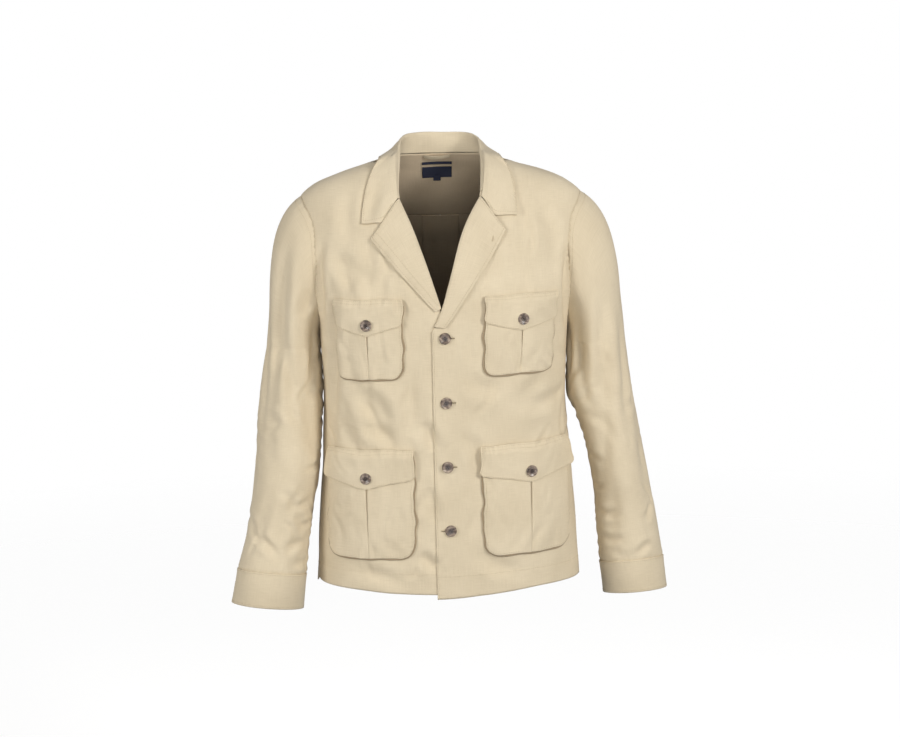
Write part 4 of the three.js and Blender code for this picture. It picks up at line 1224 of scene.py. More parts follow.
@dataclass
class Collar:
    """The collar: it stands from the neck seam, folds over and lies on the shoulders.

    Each station, from the back centre to the gorge, has its place on the neck seam, its
    fold, its leaf's edge on the body, the fold's radius, the leaf's lift and its drop.
    """

    tailor: Tailor
    stations: tuple[tuple[float, ...], ...] = (
        (0, 5.8, 0, 71, 38, 0, -13, 1, 2.6, 4, 0.2), (30, 5.8, 31, 66, 38, 34, -13, 1, 2.6, 4, 0.2),
        (56, 5.8, 52, 47, 36, 64, -12, 1, 2.6, 4, 0.25), (71, 5.8, 61.5, 24, 30, 84, -7, 1, 2.6, 4.2, 0.46),
        (75, 5.8, 63, 14, 26, 90, -5, 1, 2.6, 4.7, 0.5),
        (77.5, 5.8, 64.5, 3, 20.5, 93, -3, 1, 2.6, 5.7, 0.5),
        (78, 5.8, 65, -9, 13, 95, -5.5, -1, 2.4, 5.1, 0.5),
        (77, -3, 65.5, -28, -1, 105.5, -19, -1, 2.2, 3, 0.42),
        (74, -20, 66, -50, -23, 113.5, -42, -1, 2, 3, 0.3),
        (68, -40, 65.5, -67, -43, 118, -70, -1, 1.8, 2.8, 0.2),
        (61.5, -57, 64, -80, -58, 119, -92, -1, 1.6, 2.8, 0.2))
    notch: tuple[float, float] = (84, -91)
    skew_x: float = -4.5
    skew_z: float = 4.0
    skew_full: float = -92.0
    leaf_parts: tuple[float, ...] = (0.22, 0.48, 0.74, 1)

    def station(self, row: tuple[float, ...], side: int, is_end: bool) -> Array:
        """Return the points across the collar at one station.

        Args:
            row: the station.
            side: +1 on the wearer's left.
            is_end: whether it is the collar's cut end at the gorge.

        Returns:
            Nine points, from the neck seam over the fold to the leaf's edge.
        """
        seam_x, seam_z, fold_x, fold_y, fold_z, edge_x, edge_z, face, bend, lift, drop = row
        skin = self.tailor.skin
        skew = side * min(max(edge_z / self.skew_full, 0), 1)
        neck = Face.BACK if fold_y > 0 else Face.FRONT
        on_neck = skin.at_x(seam_x + skew * self.skew_x * 0.6, neck, min(seam_z, NECK_Z))
        seam = np.array([on_neck[0], on_neck[1], seam_z])
        fold = np.array([fold_x + skew * self.skew_x * 0.6, fold_y, fold_z])
        edge = skin.at_x(edge_x + skew * self.skew_x, Face(face), edge_z + skew * self.skew_z, lift)
        out = unit(np.array([edge[0] - fold[0], edge[1] - fold[1], 0]))
        low = np.array([0, 0, -bend])
        in_bend, out_bend = fold - out * bend + low, fold + out * bend + low
        notch = skin.at_x(self.notch[0] + skew * self.skew_x, Face.FRONT,
                          self.notch[1] + skew * self.skew_z, lift)
        bow = np.append(blend(out_bend, edge, 0.62)[:2], blend(out_bend[2], edge[2], drop))
        points = [seam, blend(seam, in_bend, 0.5), in_bend, fold, skin.keep_off(out_bend, lift)]
        for t in self.leaf_parts:
            bent = out_bend * (1 - t) ** 2 + bow * 2 * t * (1 - t) + edge * t * t
            cut = blend(out_bend, notch, t * 2) if t < 0.5 else blend(notch, edge, 2 * t - 1)
            points.append(skin.keep_off(cut if is_end else bent, lift))
        return np.array(points) * np.array([side, 1, 1])

    def make(self) -> None:
        """Make the collar and sew its edge."""
        last = len(self.stations) - 1
        halves = [[self.station(row, side, i == last) for i, row in enumerate(self.stations)]
                  for side in (-1, 1)]
        control = np.array([*halves[0][:0:-1], *halves[1]])
        across, along = grid_lengths(control)

        def place(u: Array, v: Array) -> Laid:
            w = spread_to_edges(u, 0.5)
            points = smooth_grid(control, w, spread_to_edges(v, 0.3))
            leaf = (w > 0.56)[:, None]
            points = np.where(leaf, self.tailor.skin.keep_off(points, 2.6), points)
            here = smooth_grid(control, w, v)
            facing = unit(np.cross(smooth_grid(control, w, v + 0.002) - here,
                                   smooth_grid(control, w + 0.004, v) - here))
            flat = np.stack([np.interp(v * (len(along) - 1), range(len(along)), along),
                             -np.interp(w * (len(across) - 1), range(len(across)), across)], -1)
            laid = Laid(points, np.where(leaf, self.tailor.smooth_skin(points), -facing), flat)
            return laid.puckered(v * 520, (1 - u) * 75, 0.22, 7.5, 7.0)

        tailor = self.tailor
        tailor.sheet("collar", (60, 220), place, DOUBLE, offset=0, nodes=["collar"])
        lift = DOUBLE / 2 + STITCH_LIFT
        rows = [tailor.line(place, 0.955, np.linspace(0.012, 0.988, 300), lift)]
        rows += [tailor.line(place, np.linspace(0.56, 0.955, 40), end, lift) for end in (0.012, 0.988)]
        tailor.sew("collar_stitches", rows)


@dataclass
class Lapels:
    """The two lapels, which turn over at the roll line and lie on the fronts.

    Each row has its height on the roll line and its outer edge's x and z.

    Attributes:
        fronts: the fronts that they belong to.
        rest: how far they lie over the fronts.
        bow: how far their middles rise more.
        wrap: how far they reach round the fronts' edges.
        thick: their thickness.
        parts: the places of the control points across.
        gorge: how far their top edge reaches up at each, to meet the collar.
    """

    tailor: Tailor
    fronts: Fronts
    rest: float = 2.2
    bow: float = 3.0
    wrap: float = 1.7
    thick: float = 1.6
    parts: tuple[float, ...] = (0.05, 0.22, 0.48, 0.76, 1)
    gorge: tuple[float, ...] = (5.0, 5.0, 4.8, 3.4, 1.2, 0.0, 0.0)
    over_rows: tuple[tuple[float, float, float], ...] = (
        (-252, 1, -254), (-243, 9, -244), (-220, 27, -218), (-196, 42, -196), (-166, 57, -174.5),
        (-125, 74, -149), (-98, 84.5, -131.5), (-79, 91.5, -119), (-64.5, 97, -109))
    under_rows: tuple[tuple[float, float, float], ...] = (
        (-225.5, 13.5, -229.5), (-216, 26, -216), (-200, 38, -202.5), (-166, 62, -176), (-125, 84, -150.5),
        (-98, 96, -136.5), (-79, 104.5, -126), (-65, 110, -119))

    def control(self, side: int, lap: Lap) -> Array:
        """Return the grid of points that one lapel goes through."""
        rows = self.over_rows if lap is Lap.OVER else self.under_rows
        grid = []
        for roll_z, x, z in rows:
            roll_x = float(self.fronts.inner_x(lap, np.array(roll_z, float)))
            width = math.hypot(x - roll_x, z - roll_z)
            swell = self.bow * min(1, width / 60)
            lifts = [-CLOTH / 2, self.rest / 2]
            lifts += [self.rest + swell * math.sin(math.pi * part ** 0.7) for part in self.parts]
            points = []
            for part, lift, off in zip((0, 0, *self.parts), lifts, (self.wrap, self.wrap, 0, 0, 0, 0, 0)):
                at_x = blend(roll_x, x, part)
                over = float(self.fronts.lap_lift(lap, np.array(at_x)))
                point = self.tailor.skin.at_x(side * at_x, Face.FRONT, blend(roll_z, z, part), lift + over)
                points.append(point - np.array([side * off, 0, 0]))
            grid.append(points)
        control = np.array(grid)
        control[-1] += np.array(self.gorge)[:, None] * np.array([0.12 * side, 0.1, 1.0])
        return control

    def make(self, buttons: "Buttons") -> None:
        """Make both lapels and sew their edges and the lapel's buttonhole."""
        tailor = self.tailor
        for name, side, lap in (("lapel_left", 1, Lap.OVER), ("lapel_right", -1, Lap.UNDER)):
            control = self.control(side, lap)
            across, along = grid_lengths(control)

            def place(u: Array, v: Array) -> Laid:
                points = smooth_grid(control, spread_to_edges(u, 0.4), spread_to_edges(v, 0.4))
                flat = np.stack([side * np.interp(u * (len(across) - 1), range(len(across)), across),
                                 np.interp(v * (len(along) - 1), range(len(along)), along)], -1)
                laid = Laid(points, tailor.smooth_skin(points), flat)
                return laid.puckered(v * 190, (1 - u) * 60, 0.22, 7.5, 7.0)

            tailor.sheet(name, (44, 90), place, self.thick, offset=0, nodes=[name])
            lift = self.thick / 2 + STITCH_LIFT
            even = np.linspace(0.03, 0.985, 160)
            rows = [tailor.line(place, self.inset(control, even, 4.5), even, lift)]
            rows.append(tailor.line(place, np.linspace(0.32, 0.95, 50), 0.97, lift))
            if lap is Lap.UNDER:
                rows.append(tailor.line(place, self.inset(control, even, 14.5), even, lift))
            else:
                hole = place(self.inset(control, np.array([0.72]), 13.0), np.array([0.72]))
                buttons.worked_hole("lapel_buttonhole", hole, lift, 12.0, turn=1.5, is_open=False)
            tailor.sew(f"{name}_stitches", rows)

    def inset(self, control: Array, v: Array, distance: float) -> Array:
        """Return the places across a lapel that lie inside its outer edge by a distance."""
        rows = spread_to_edges(v, 0.4) * (len(control) - 1)
        widths = np.linalg.norm(control[:, -1] - control[:, 1], axis=1)
        part = np.maximum(0, 1 - distance / np.interp(rows, range(len(control)), widths))
        column = np.interp(part, (0, *self.parts), range(1, 7)) / 6
        even = np.linspace(0, 1, 200)
        return np.interp(column, spread_to_edges(even, 0.4), even)


@dataclass
class Pocket:
    """A bellows pocket: a pleated patch over a folded gusset, with a pointed flap.

    Attributes:
        name: the patch's solid.
        side: +1 on the wearer's left.
        arc: its centre's distance round the front.
        top: the flap's seam.
        width: the patch's.
        depth: from the flap's seam to the patch's bottom.
        corner: the patch's bottom corners.
        pleat: how deep the inverted pleat is.
        flap: the flap's width, side, tip, button place and flare.
        slope: how fast it rises outward and slides inward going down.
        mouth: half the gap between the pleat's outer folds.
        gape: how much wider that gap is at the top.
        patch_top: from the flap's seam to the patch's top.
        lifts: the lifts of the pleat's three layers, the patch's face last.
        gusset_inset: how far the gusset's edges lie inside the patch's.
        gusset_reach: how far its fold lies outside them.
        gusset_lifts: the lifts of its two layers.
        hidden: how much higher the pleat's hidden layers end.
        flap_seam: the flap's lift at its seam.
        flap_clear: its lift below the seam.
        flap_belly: how far its middle swells more.
        flap_corner: its bottom corners.
    """

    tailor: Tailor
    name: str
    side: int
    arc: float
    top: float
    width: float
    depth: float
    corner: float
    pleat: float
    flap: tuple[float, float, float, float, float]
    slope: tuple[float, float] = (0.0, 0.0)
    mouth: float = 0.45
    gape: float = 0.9
    patch_top: float = 9.0
    lifts: tuple[float, float, float] = (0.95, 2.25, 3.55)
    gusset_inset: float = 1.5
    gusset_reach: float = 2.5
    gusset_lifts: tuple[float, float] = (0.85, 2.1)
    hidden: float = 8.5
    flap_seam: float = 1.7
    flap_clear: float = 6.4
    flap_belly: float = 1.1
    flap_corner: float = 6.5

    def on_front(self, arc: Array, z: Array, lift: Array) -> Laid:
        """Return points over the front, by their distance from the pocket's centre."""
        rise, slide = self.slope
        wave = 1.1 * np.sin(z / 10.5 + self.top) + 0.6 * np.sin(z / 4.7 + self.arc)
        across = self.arc + arc + slide * (z - self.top) + wave * (2 * arc / self.width) ** 3
        height = z + rise * arc + 0.7 * np.sin(arc / 12.0 + self.top)
        points = self.tailor.skin.point(self.side, Face.FRONT, across, height, lift)
        flat = np.stack([self.side * np.broadcast_to(arc, points[:, 0].shape), z], -1)
        return Laid(points, self.tailor.smooth_skin(points), flat)

    def corner_rise(self, distance: Array) -> Array:
        """Return how far the bottom edge rises at a distance from the centre."""
        into = np.clip(distance - (self.width / 2 - self.corner), 0, self.corner)
        return self.corner - np.sqrt(self.corner ** 2 - into ** 2)

    def lay_patch(self, u: Array, v: Array) -> Laid:
        """Lay the patch, top to bottom, with its pleat."""
        under, fold, face = self.lifts
        half = self.width / 2
        shares = np.array([0, 0.11, 0.13, 0.24, 0.27, 0.4, 1.0])
        arcs = np.array([0, self.pleat, self.pleat, self.mouth, self.mouth, self.pleat, half])
        lifts = np.array([under, under, fold, fold, face, face, face])
        way = 2 * u - 1
        part = np.abs(way)
        down = spread_to_edges(v, 0.55)
        arc, lift = np.interp(part, shares, arcs), np.interp(part, shares, lifts)
        gape = self.gape * (1 - smooth(down, 0.3, 0.85)) - 0.25 * smooth(down, 0.8, 1.0)
        opening = gape * np.clip((self.pleat - arc) / (self.pleat - self.mouth), 0, 1)
        arc = arc + np.where(part > 0.135, opening, 0)
        rise = self.corner_rise(arc) + np.where(lift < face - 0.1, self.hidden, 0.0)
        z = self.top - self.patch_top - down * (self.depth - self.patch_top - rise)
        full = np.sin(math.pi * np.clip(down, 0, 1)) * np.sqrt(np.maximum(0, 1 - (arc / half) ** 4))
        ripple = np.sin(arc * np.sign(way) / 8.5 + 4 * down) * (1 - smooth(down, 0.1, 0.6))
        lift = lift + 2.2 * full + 0.35 * ripple * (1 - (arc / half) ** 2)
        laid = self.on_front(np.sign(way) * arc, z, lift)
        run = np.concatenate([[0], np.cumsum(np.abs(np.diff(arcs)) + np.abs(np.diff(lifts)))])
        laid.flat[:, 0] = self.side * np.sign(way) * np.interp(part, shares, run)
        return laid.puckered(z, (1 - part) * half * 1.6, 0.3, 8.5, 9.0)

    def lay_gusset(self, u: Array, v: Array) -> Laid:
        """Lay the gusset, one side to the other round the bottom, folded along itself."""
        low, high = self.gusset_lifts
        half, corner = self.width / 2, self.corner
        straight, quarter = self.depth - self.patch_top - corner, corner * math.pi / 2
        flat_part = half - corner
        total = 2 * (straight + quarter + flat_part)
        way = np.where(v < 0.5, 1.0, -1.0)
        run = np.where(v < 0.5, v, 1 - v) * total
        angle = np.clip((run - straight) / quarter, 0, 1) * math.pi / 2
        s = flat_part + corner * np.cos(angle) - np.maximum(0, run - straight - quarter)
        z = -self.patch_top - np.minimum(run, straight) - corner * np.sin(angle)
        turn = np.clip((u - 0.4) / 0.2, 0, 1) * math.pi
        reach = np.where(u < 0.4, blend(-self.gusset_inset, self.gusset_reach - 0.6, u / 0.4),
                         blend(self.gusset_reach - 0.6, -self.gusset_inset, np.clip((u - 0.6) / 0.4, 0, 1)))
        reach = reach + 0.6 * np.sin(turn)
        lift = (low + high) / 2 - np.cos(turn) * (high - low) / 2
        reach = reach + 0.55 * np.sin(run / 7.0) * np.clip(u * 5, 0, 1) * np.clip((1 - u) * 5, 0, 1)
        arc = way * (s + np.cos(angle) * reach)
        laid = self.on_front(arc, self.top + z - np.sin(angle) * reach, lift)
        return Laid(laid.place, laid.facing, np.stack([u * 10, v * total], -1))

    def lay_flap(self, u: Array, v: Array) -> Laid:
        """Lay the flap, seam to point."""
        width, side, tip, _, flare = self.flap
        across = 2 * spread_to_edges(u, 0.55) - 1
        down = spread_to_edges(v, 0.55)
        into = np.clip((np.abs(across) - 1) * width / 2 / self.flap_corner + 1, 0, 1)
        length = blend(tip, side, np.sqrt(across ** 2 + 0.0015))
        length = length - self.flap_corner * (1 - np.sqrt(1 - into ** 2))
        lift = blend(self.flap_seam, self.flap_clear, 0.2 + 0.8 * smooth(down, -0.06, 0.25))
        lift = lift + flare * down * np.maximum(0, across) ** 3
        lift = lift + self.flap_belly * np.sin(math.pi * down) * (1 - across ** 2)
        laid = self.on_front(across * width / 2, self.top - down * length, lift)
        return laid.puckered(across * width / 2 + self.arc, down * length, 0.42, 9.5, 15.0)

    def make(self, buttons: "Buttons") -> None:
        """Make the pocket, sew its edges and put on its button."""
        creases = strew(lambda arc, z: self.on_front(arc, z, 4.5).place,
                        (-self.width / 2, self.width / 2, self.top - self.depth, self.top), 16,
                        int(self.depth), slant=0.5, depths=(0.3, 0.8))
        body = self.tailor.drape
        tailor = Tailor(self.tailor.skin, Drape(body.creases + creases), self.tailor.cloths)
        # The gusset takes the darker linen: painted shade in the recess under the patch's edge.
        for kind, size, lay, thick, material in (
                ("pocket", (124, 84), self.lay_patch, POCKET_CLOTH, "linen"),
                ("gusset", (14, 130), self.lay_gusset, POCKET_CLOTH, "linen_fold_painted_shade"),
                ("flap", (66, 40), self.lay_flap, DOUBLE, "linen")):
            name = self.name.replace("pocket", kind)
            tailor.sheet(name, size, lay, thick, offset=0, nodes=[name], material=material)
        even, lift = np.linspace(0, 1, 160), DOUBLE / 2 + STITCH_LIFT
        edge = 2 * 2.6 / self.flap[0]
        rows = [tailor.line(self.lay_flap, 0.03 + 0.94 * even, v, lift) for v in (0.07, 0.2, 0.93)]
        rows += [tailor.line(self.lay_flap, u, np.linspace(0.05, 0.93, 60), lift)
                 for u in (0.028 + edge / 3, 0.972 - edge / 3)]
        across, lift = np.linspace(0.02, 0.98, 200), POCKET_CLOTH / 2 + STITCH_LIFT
        bottom = tailor.line(self.lay_patch, across, 0.965, lift)
        beside_pleat = np.abs(2 * across - 1) > 0.42
        for half in (across < 0.5, across > 0.5):
            rows.append(tuple(values[beside_pleat & half] for values in bottom))
        rows += [tailor.line(self.lay_patch, u, np.linspace(0.1, 0.93, 120), lift) for u in (0.02, 0.98)]
        tailor.sew(self.name.replace("pocket", "pocket_stitches"), rows)
        button = self.on_front(np.zeros(1), np.array([self.top - self.flap[3]]), np.array([0.0]))
        belly = self.flap_belly * math.sin(math.pi * self.flap[3] / self.flap[2])
        lift = self.flap_clear + belly + DOUBLE / 2
        buttons.sew_on(self.name.replace("pocket", "flap_button"), button, lift, turn=0.6)


@dataclass
class Buttons:
    """Turned horn buttons with a raised rim, a dish and four sewn holes.

    Attributes:
        radius: a button's.
        thick: its thickness.
        rim: its rim's width.
        dish: how deep its middle is.
        hole: the radius of its holes.
        spacing: from hole to hole.
        stitch: from stitch to stitch round a buttonhole.
    """

    tailor: Tailor
    radius: float = 9.0
    thick: float = 3.2
    rim: float = 1.9
    dish: float = 0.9
    hole: float = 0.85
    spacing: float = 2.9
    stitch: float = 0.62

    def blank(self) -> bpy.types.Mesh:
        """Return one button's mesh in millimetres, lying on its back at the origin."""
        r, t = self.radius, self.thick
        profile = ((0, 0), (r - 1.6, 0), (r - 0.5, 0.5), (r, 1.5), (r - 0.25, t - 0.55), (r - 0.9, t),
                   (r - self.rim, t - 0.15), (r - self.rim - 0.9, t - self.dish), (0, t - self.dish))
        made = bmesh.new()
        verts = [made.verts.new((x, 0, z)) for x, z in profile]
        edges = [made.edges.new(pair) for pair in zip(verts, verts[1:])]
        bmesh.ops.spin(made, geom=[*verts, *edges], cent=(0, 0, 0), axis=(0, 0, 1), angle=2 * math.pi,
                       steps=48, use_merge=True)
        bmesh.ops.remove_doubles(made, verts=made.verts, dist=1e-4)
        bmesh.ops.recalc_face_normals(made, faces=made.faces)
        disc = bpy.data.meshes.new("button_blank")
        made.to_mesh(disc)
        made.free()
        drill = bmesh.new()
        for x, y in ((1, 1), (1, -1), (-1, 1), (-1, -1)):
            bmesh.ops.create_cone(drill, cap_ends=True, segments=14, radius1=self.hole, radius2=self.hole,
                                  depth=3 * t, matrix=Matrix.Translation((x * self.spacing / 2,
                                                                           y * self.spacing / 2, t / 2)))
        bits = bpy.data.meshes.new("button_drill")
        drill.to_mesh(bits)
        drill.free()
        blank, bit = bpy.data.objects.new("blank", disc), bpy.data.objects.new("bit", bits)
        for part in (blank, bit):
            bpy.context.scene.collection.objects.link(part)
        cut = blank.modifiers.new("holes", "BOOLEAN")
        cut.object, cut.solver = bit, "EXACT"
        bpy.context.view_layer.update()
        mesh = bpy.data.meshes.new_from_object(blank.evaluated_get(bpy.context.evaluated_depsgraph_get()))
        for part in (blank, bit):
            bpy.data.objects.remove(part)
        return mesh

    def __post_init__(self) -> None:
        """Turn the blank that every button is copied from."""
        self.pattern = self.blank()

    def seat(self, at: Laid, lift: float, turn: float) -> Matrix:
        """Return the seat of a button or a buttonhole on laid cloth.

        Args:
            at: one point of the skin under it.
            lift: how far over that point it is.
            turn: how far it is turned from level.

        Returns:
            The matrix from its own millimetres to metres.
        """
        facing = Vector(at.facing[0])
        place = Vector(self.tailor.creased(at)[0] + at.facing[0] * lift) * MM
        across = Vector((1, 0, 0)) - facing * facing.x
        across.normalize()
        basis = Matrix((across, facing.cross(across), facing)).transposed().to_4x4()
        return Matrix.Translation(place) @ basis @ Matrix.Rotation(turn, 4, "Z") @ Matrix.Scale(MM, 4)

    def sew_on(self, name: str, at: Laid, lift: float, turn: float = 0.0) -> None:
        """Put a button on laid cloth, with its thread.

        Args:
            name: the solid it stands for, and its own name.
            at: one point of the skin under it.
            lift: how far over that point its back is.
            turn: how far it is turned about its axis.
        """
        tailor, seat = self.tailor, self.seat(at, lift, turn)
        made = bmesh.new()
        made.from_mesh(self.pattern)
        rim = made.verts.layers.float.new("rim")
        for vert in made.verts:
            vert[rim] = vert.co.xy.length / self.radius
        bmesh.ops.transform(made, matrix=seat, verts=made.verts)
        piece = tailor.finish(f"{name}_horn", made, "horn")
        piece.data.set_sharp_from_angle(angle=math.radians(40))
        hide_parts(name)
        thread = bmesh.new()
        half = self.spacing / 2
        for y in (half, -half):
            bmesh.ops.create_uvsphere(thread, u_segments=8, v_segments=6, radius=1.0, matrix=(
                Matrix.Translation((0, y, self.thick - self.dish + 0.05))
                @ Matrix.Diagonal((half + 0.55, 0.62, 0.5, 1))))
            for x in (half, -half):
                leg = Matrix.Translation((x, y, self.thick / 2 - 0.9))
                bmesh.ops.create_cone(thread, cap_ends=True, segments=8, radius1=0.5, radius2=0.5,
                                      depth=self.thick, matrix=leg)
        bmesh.ops.transform(thread, matrix=seat, verts=thread.verts)
        tailor.finish(f"{name}_thread", thread, "dark_thread")
        log.info("%s sewn on", name)

    def worked_hole(self, name: str, at: Laid, lift: float, length: float, turn: float = 0.0,
                    is_open: bool = True) -> None:
        """Work a buttonhole: close stitches round a slit.

        Args:
            name: its name.
            at: one point of the skin under its middle.
            lift: how far over that point the cloth's face is.
            length: the slit's.
            turn: how far it is turned from level.
            is_open: whether its slit shows.
        """
        tailor, seat = self.tailor, self.seat(at, lift, turn)
        made = bmesh.new()
        for k in range(int(length / self.stitch) + 1):
            for y in (-0.85, 0.85):
                bmesh.ops.create_uvsphere(made, u_segments=6, v_segments=4, radius=1.0, matrix=(
                    Matrix.Translation((-length / 2 + self.stitch * k, y, 0))
                    @ Matrix.Diagonal((0.3, 0.75, 0.4, 1))))
        bmesh.ops.transform(made, matrix=seat, verts=made.verts)
        tailor.finish(name, made, "thread" if is_open else "linen")
        if not is_open:
            return
        # The slit is a dark block in the shade finish: painted shade in the buttonhole's opening.
        slit = bmesh.new()
        bmesh.ops.create_cube(slit, size=1.0, matrix=Matrix.Diagonal((length, 0.75, 0.5, 1)))
        bmesh.ops.bevel(slit, geom=slit.edges[:], offset=0.12, affect="EDGES", segments=2, profile=0.5,
                        material=-1)
        bmesh.ops.transform(slit, matrix=seat, verts=slit.verts)
        tailor.finish(f"{name}_slit", slit, "shade")


@dataclass
class NeckPieces:
    """The hanging loop and the bare labels inside the back neck.

    Each row is a name, its middle and width round the neck, its top, its bottom, how far
    its middle bows in, its lift and its finish.
    """

    tailor: Tailor
    rows: tuple[tuple[str, float, float, float, float, float, float, str], ...] = (
        ("hanger_loop", -4, 43, 4.5, -0.5, 5, -2.6, "linen"),
        ("label_strip", -4, 48, -8.5, -12.3, 0, -2.3, "label_navy"),
        ("neck_label", -4, 48, -17, -34.5, 0, -2.3, "label_navy"),
        ("size_tab", -4, 12, -30.5, -39, 0, -3.7, "label_navy"))

    def make(self) -> None:
        """Make the pieces."""
        for name, middle, width, top, bottom, bow, lift, finish in self.rows:
            def place(u: Array, v: Array) -> Laid:
                across = 2 * u - 1
                arc, z = middle + across * width / 2, blend(bottom, top, v)
                points = self.tailor.skin.point(1, Face.BACK, arc, z, lift - bow * (1 - across ** 2))
                return Laid(points, self.tailor.smooth_skin(points), np.stack([arc, z], -1))

            size = (14, 12) if width < 20 else (40, 18)
            self.tailor.sheet(name, size, place, POCKET_CLOTH, offset=0, nodes=[name], material=finish)


@dataclass
class Studio:
    """The camera of the photograph, soft lights and a pale floor."""

    distance: float = 3.0
    elevation: float = 8.5
    azimuth: float = -1.0
    roll: float = 1.2
    aim: tuple[float, float, float] = (0.009, 0.0, -0.336)
    lens: float = 75.0
    floor_z: float = -1.5
    sky_low: float = 0.17
    sky_high: float = 0.38
    lights: tuple[tuple[str, tuple[float, float, float], float, float], ...] = (
        ("key", (2.05, -2.15, 0.85), 0.8, 56.0), ("fill", (-2.3, -1.7, 0.3), 0.8, 31.5),
        ("front", (0.0, -3.0, -0.5), 1.5, 22.0))

    def make_camera(self) -> None:
        """Place the camera."""
        up, turn = math.radians(self.elevation), math.radians(self.azimuth)
        away = Vector((math.sin(turn) * math.cos(up), -math.cos(turn) * math.cos(up), math.sin(up)))
        data = bpy.data.cameras.new("camera")
        data.lens, data.sensor_width, data.sensor_fit = self.lens, 36.0, "HORIZONTAL"
        data.clip_start, data.clip_end = 0.05, 100.0
        camera = bpy.data.objects.new("camera", data)
        bpy.context.scene.collection.objects.link(camera)
        camera.location = Vector(self.aim) + away * self.distance
        look = (-away).to_track_quat("-Z", "Y").to_matrix().to_4x4()
        roll = Matrix.Rotation(math.radians(-self.roll), 4, "Z")
        camera.matrix_world = Matrix.Translation(camera.location) @ look @ roll
        bpy.context.scene.camera = camera

    def add_light(self, name: str, place: tuple[float, float, float], size: float, power: float) -> None:
        """Add a soft square light that faces the jacket.

        Args:
            name: the light's name.
            place: where it stands.
            size: its side.
            power: in watts.
        """
        data = bpy.data.lights.new(name, "AREA")
        data.size, data.energy = size, power
        data.color = (1.0, 0.985, 0.96)
        light = bpy.data.objects.new(name, data)
        bpy.context.scene.collection.objects.link(light)
        light.location = place
        aim = Vector(self.aim) - Vector(place)
        light.rotation_euler = aim.to_track_quat("-Z", "Y").to_euler()

    def make_floor(self) -> None:
        """Lay the floor, which fades into the white around."""
        made = bmesh.new()
        bmesh.ops.create_circle(made, cap_ends=True, segments=64, radius=9.0)
        bmesh.ops.translate(made, vec=(0, 0, self.floor_z), verts=made.verts)
        mesh = bpy.data.meshes.new("floor")
        made.to_mesh(mesh)
        made.free()
        floor = bpy.data.objects.new("floor", mesh)
        bpy.context.scene.collection.objects.link(floor)
        n = Nodes("floor")
        here = n.add("ShaderNodeTexCoord").outputs["Object"]
        flat = n.stretch(here, (1, 1, 0))
        reach = n.add("ShaderNodeVectorMath", {"Vector": flat}, operation="LENGTH").outputs["Value"]
        fade = n.add("ShaderNodeMapRange", {"Value": reach, "From Min": 1.2, "From Max": 5.0}).outputs[0]
        n.set(Base_Color=(0.93, 0.93, 0.93, 1), Roughness=0.95, Emission_Color=(1, 1, 1, 1),
              Emission_Strength=0.56)
        clear = n.add("ShaderNodeBsdfTransparent")
        mixed = n.add("ShaderNodeMixShader", {"Fac": fade})
        n.feed(mixed.inputs[1], n.shader.outputs[0])
        n.feed(mixed.inputs[2], clear.outputs[0])
        n.feed(n.tree.nodes["Material Output"].inputs["Surface"], mixed.outputs[0])
        mesh.materials.append(n.material)
        floor.visible_diffuse = False

    def make_world(self) -> None:
        """Make the even white surround, which lights the jacket softly from above."""
        world = bpy.data.worlds.new("studio")
        world.use_nodes = True
        tree = world.node_tree
        seen = tree.nodes["Background"]
        seen.inputs["Color"].default_value = (1, 1, 1, 1)
        seen.inputs["Strength"].default_value = 1.0
        lit = tree.nodes.new("ShaderNodeBackground")
        lit.inputs["Color"].default_value = (1, 1, 1, 1)
        way = tree.nodes.new("ShaderNodeSeparateXYZ")
        tree.links.new(tree.nodes.new("ShaderNodeTexCoord").outputs["Generated"], way.inputs[0])
        rise = tree.nodes.new("ShaderNodeMapRange")
        rise.inputs["From Min"].default_value = -0.5
        rise.inputs["To Min"].default_value = self.sky_low
        rise.inputs["To Max"].default_value = self.sky_high
        tree.links.new(way.outputs["Z"], rise.inputs["Value"])
        tree.links.new(rise.outputs[0], lit.inputs["Strength"])
        mixed = tree.nodes.new("ShaderNodeMixShader")
        tree.links.new(tree.nodes.new("ShaderNodeLightPath").outputs["Is Camera Ray"], mixed.inputs["Fac"])
        tree.links.new(lit.outputs[0], mixed.inputs[1])
        tree.links.new(seen.outputs[0], mixed.inputs[2])
        tree.links.new(mixed.outputs[0], tree.nodes["World Output"].inputs["Surface"])
        bpy.context.scene.world = world
        bpy.context.scene.view_settings.view_transform = "Standard"

    def make(self) -> None:
        """Make the whole studio."""
        self.make_camera()
        for light in self.lights:
            self.add_light(*light)
        self.make_floor()
        self.make_world()


# The sleeves' and cuffs' rings, as Sleeve reads them.
SLEEVE_RIGHT = (
    (-290, 237.9, -6, 42.1, 68, 0), (-330, 241.7, -16, 47.3, 66, 0), (-371, 244.1, -24, 50.4, 64, 0),
    (-412, 246.8, -31, 52.1, 63, 0), (-450, 248.2, -38, 51, 62, 0.02),
    (-490, 252.3, -46, 51.3, 60, 0.04), (-538, 260.8, -54, 49.3, 58, 0.07),
    (-585, 269.3, -61, 49.3, 56, 0.09), (-641.7, 280.5, -69, 54.5, 56, 0.115))
CUFF_RIGHT = ((-642, 280.5, -69, 54.2, 55.7, 0.115), (-672, 285.5, -71, 55.5, 56.5, 0.115),
              (-697, 289.3, -72, 56, 56.5, 0.115))
SLEEVE_LEFT = (
    (-290, 242.2, -6, 46.3, 68, 0), (-330, 243.7, -11, 49.2, 66, 0), (-371, 246.4, -13, 53.3, 65, 0),
    (-412, 258.5, -14, 48.5, 64, 0.02), (-450, 267.5, -15, 46, 63, 0.03),
    (-490, 274.3, -16, 45.2, 62, 0.05), (-538, 282, -17, 45.6, 60, 0.06),
    (-590, 288, -19, 48.5, 57, 0.07), (-647.7, 294.5, -20, 51, 56, 0.08))
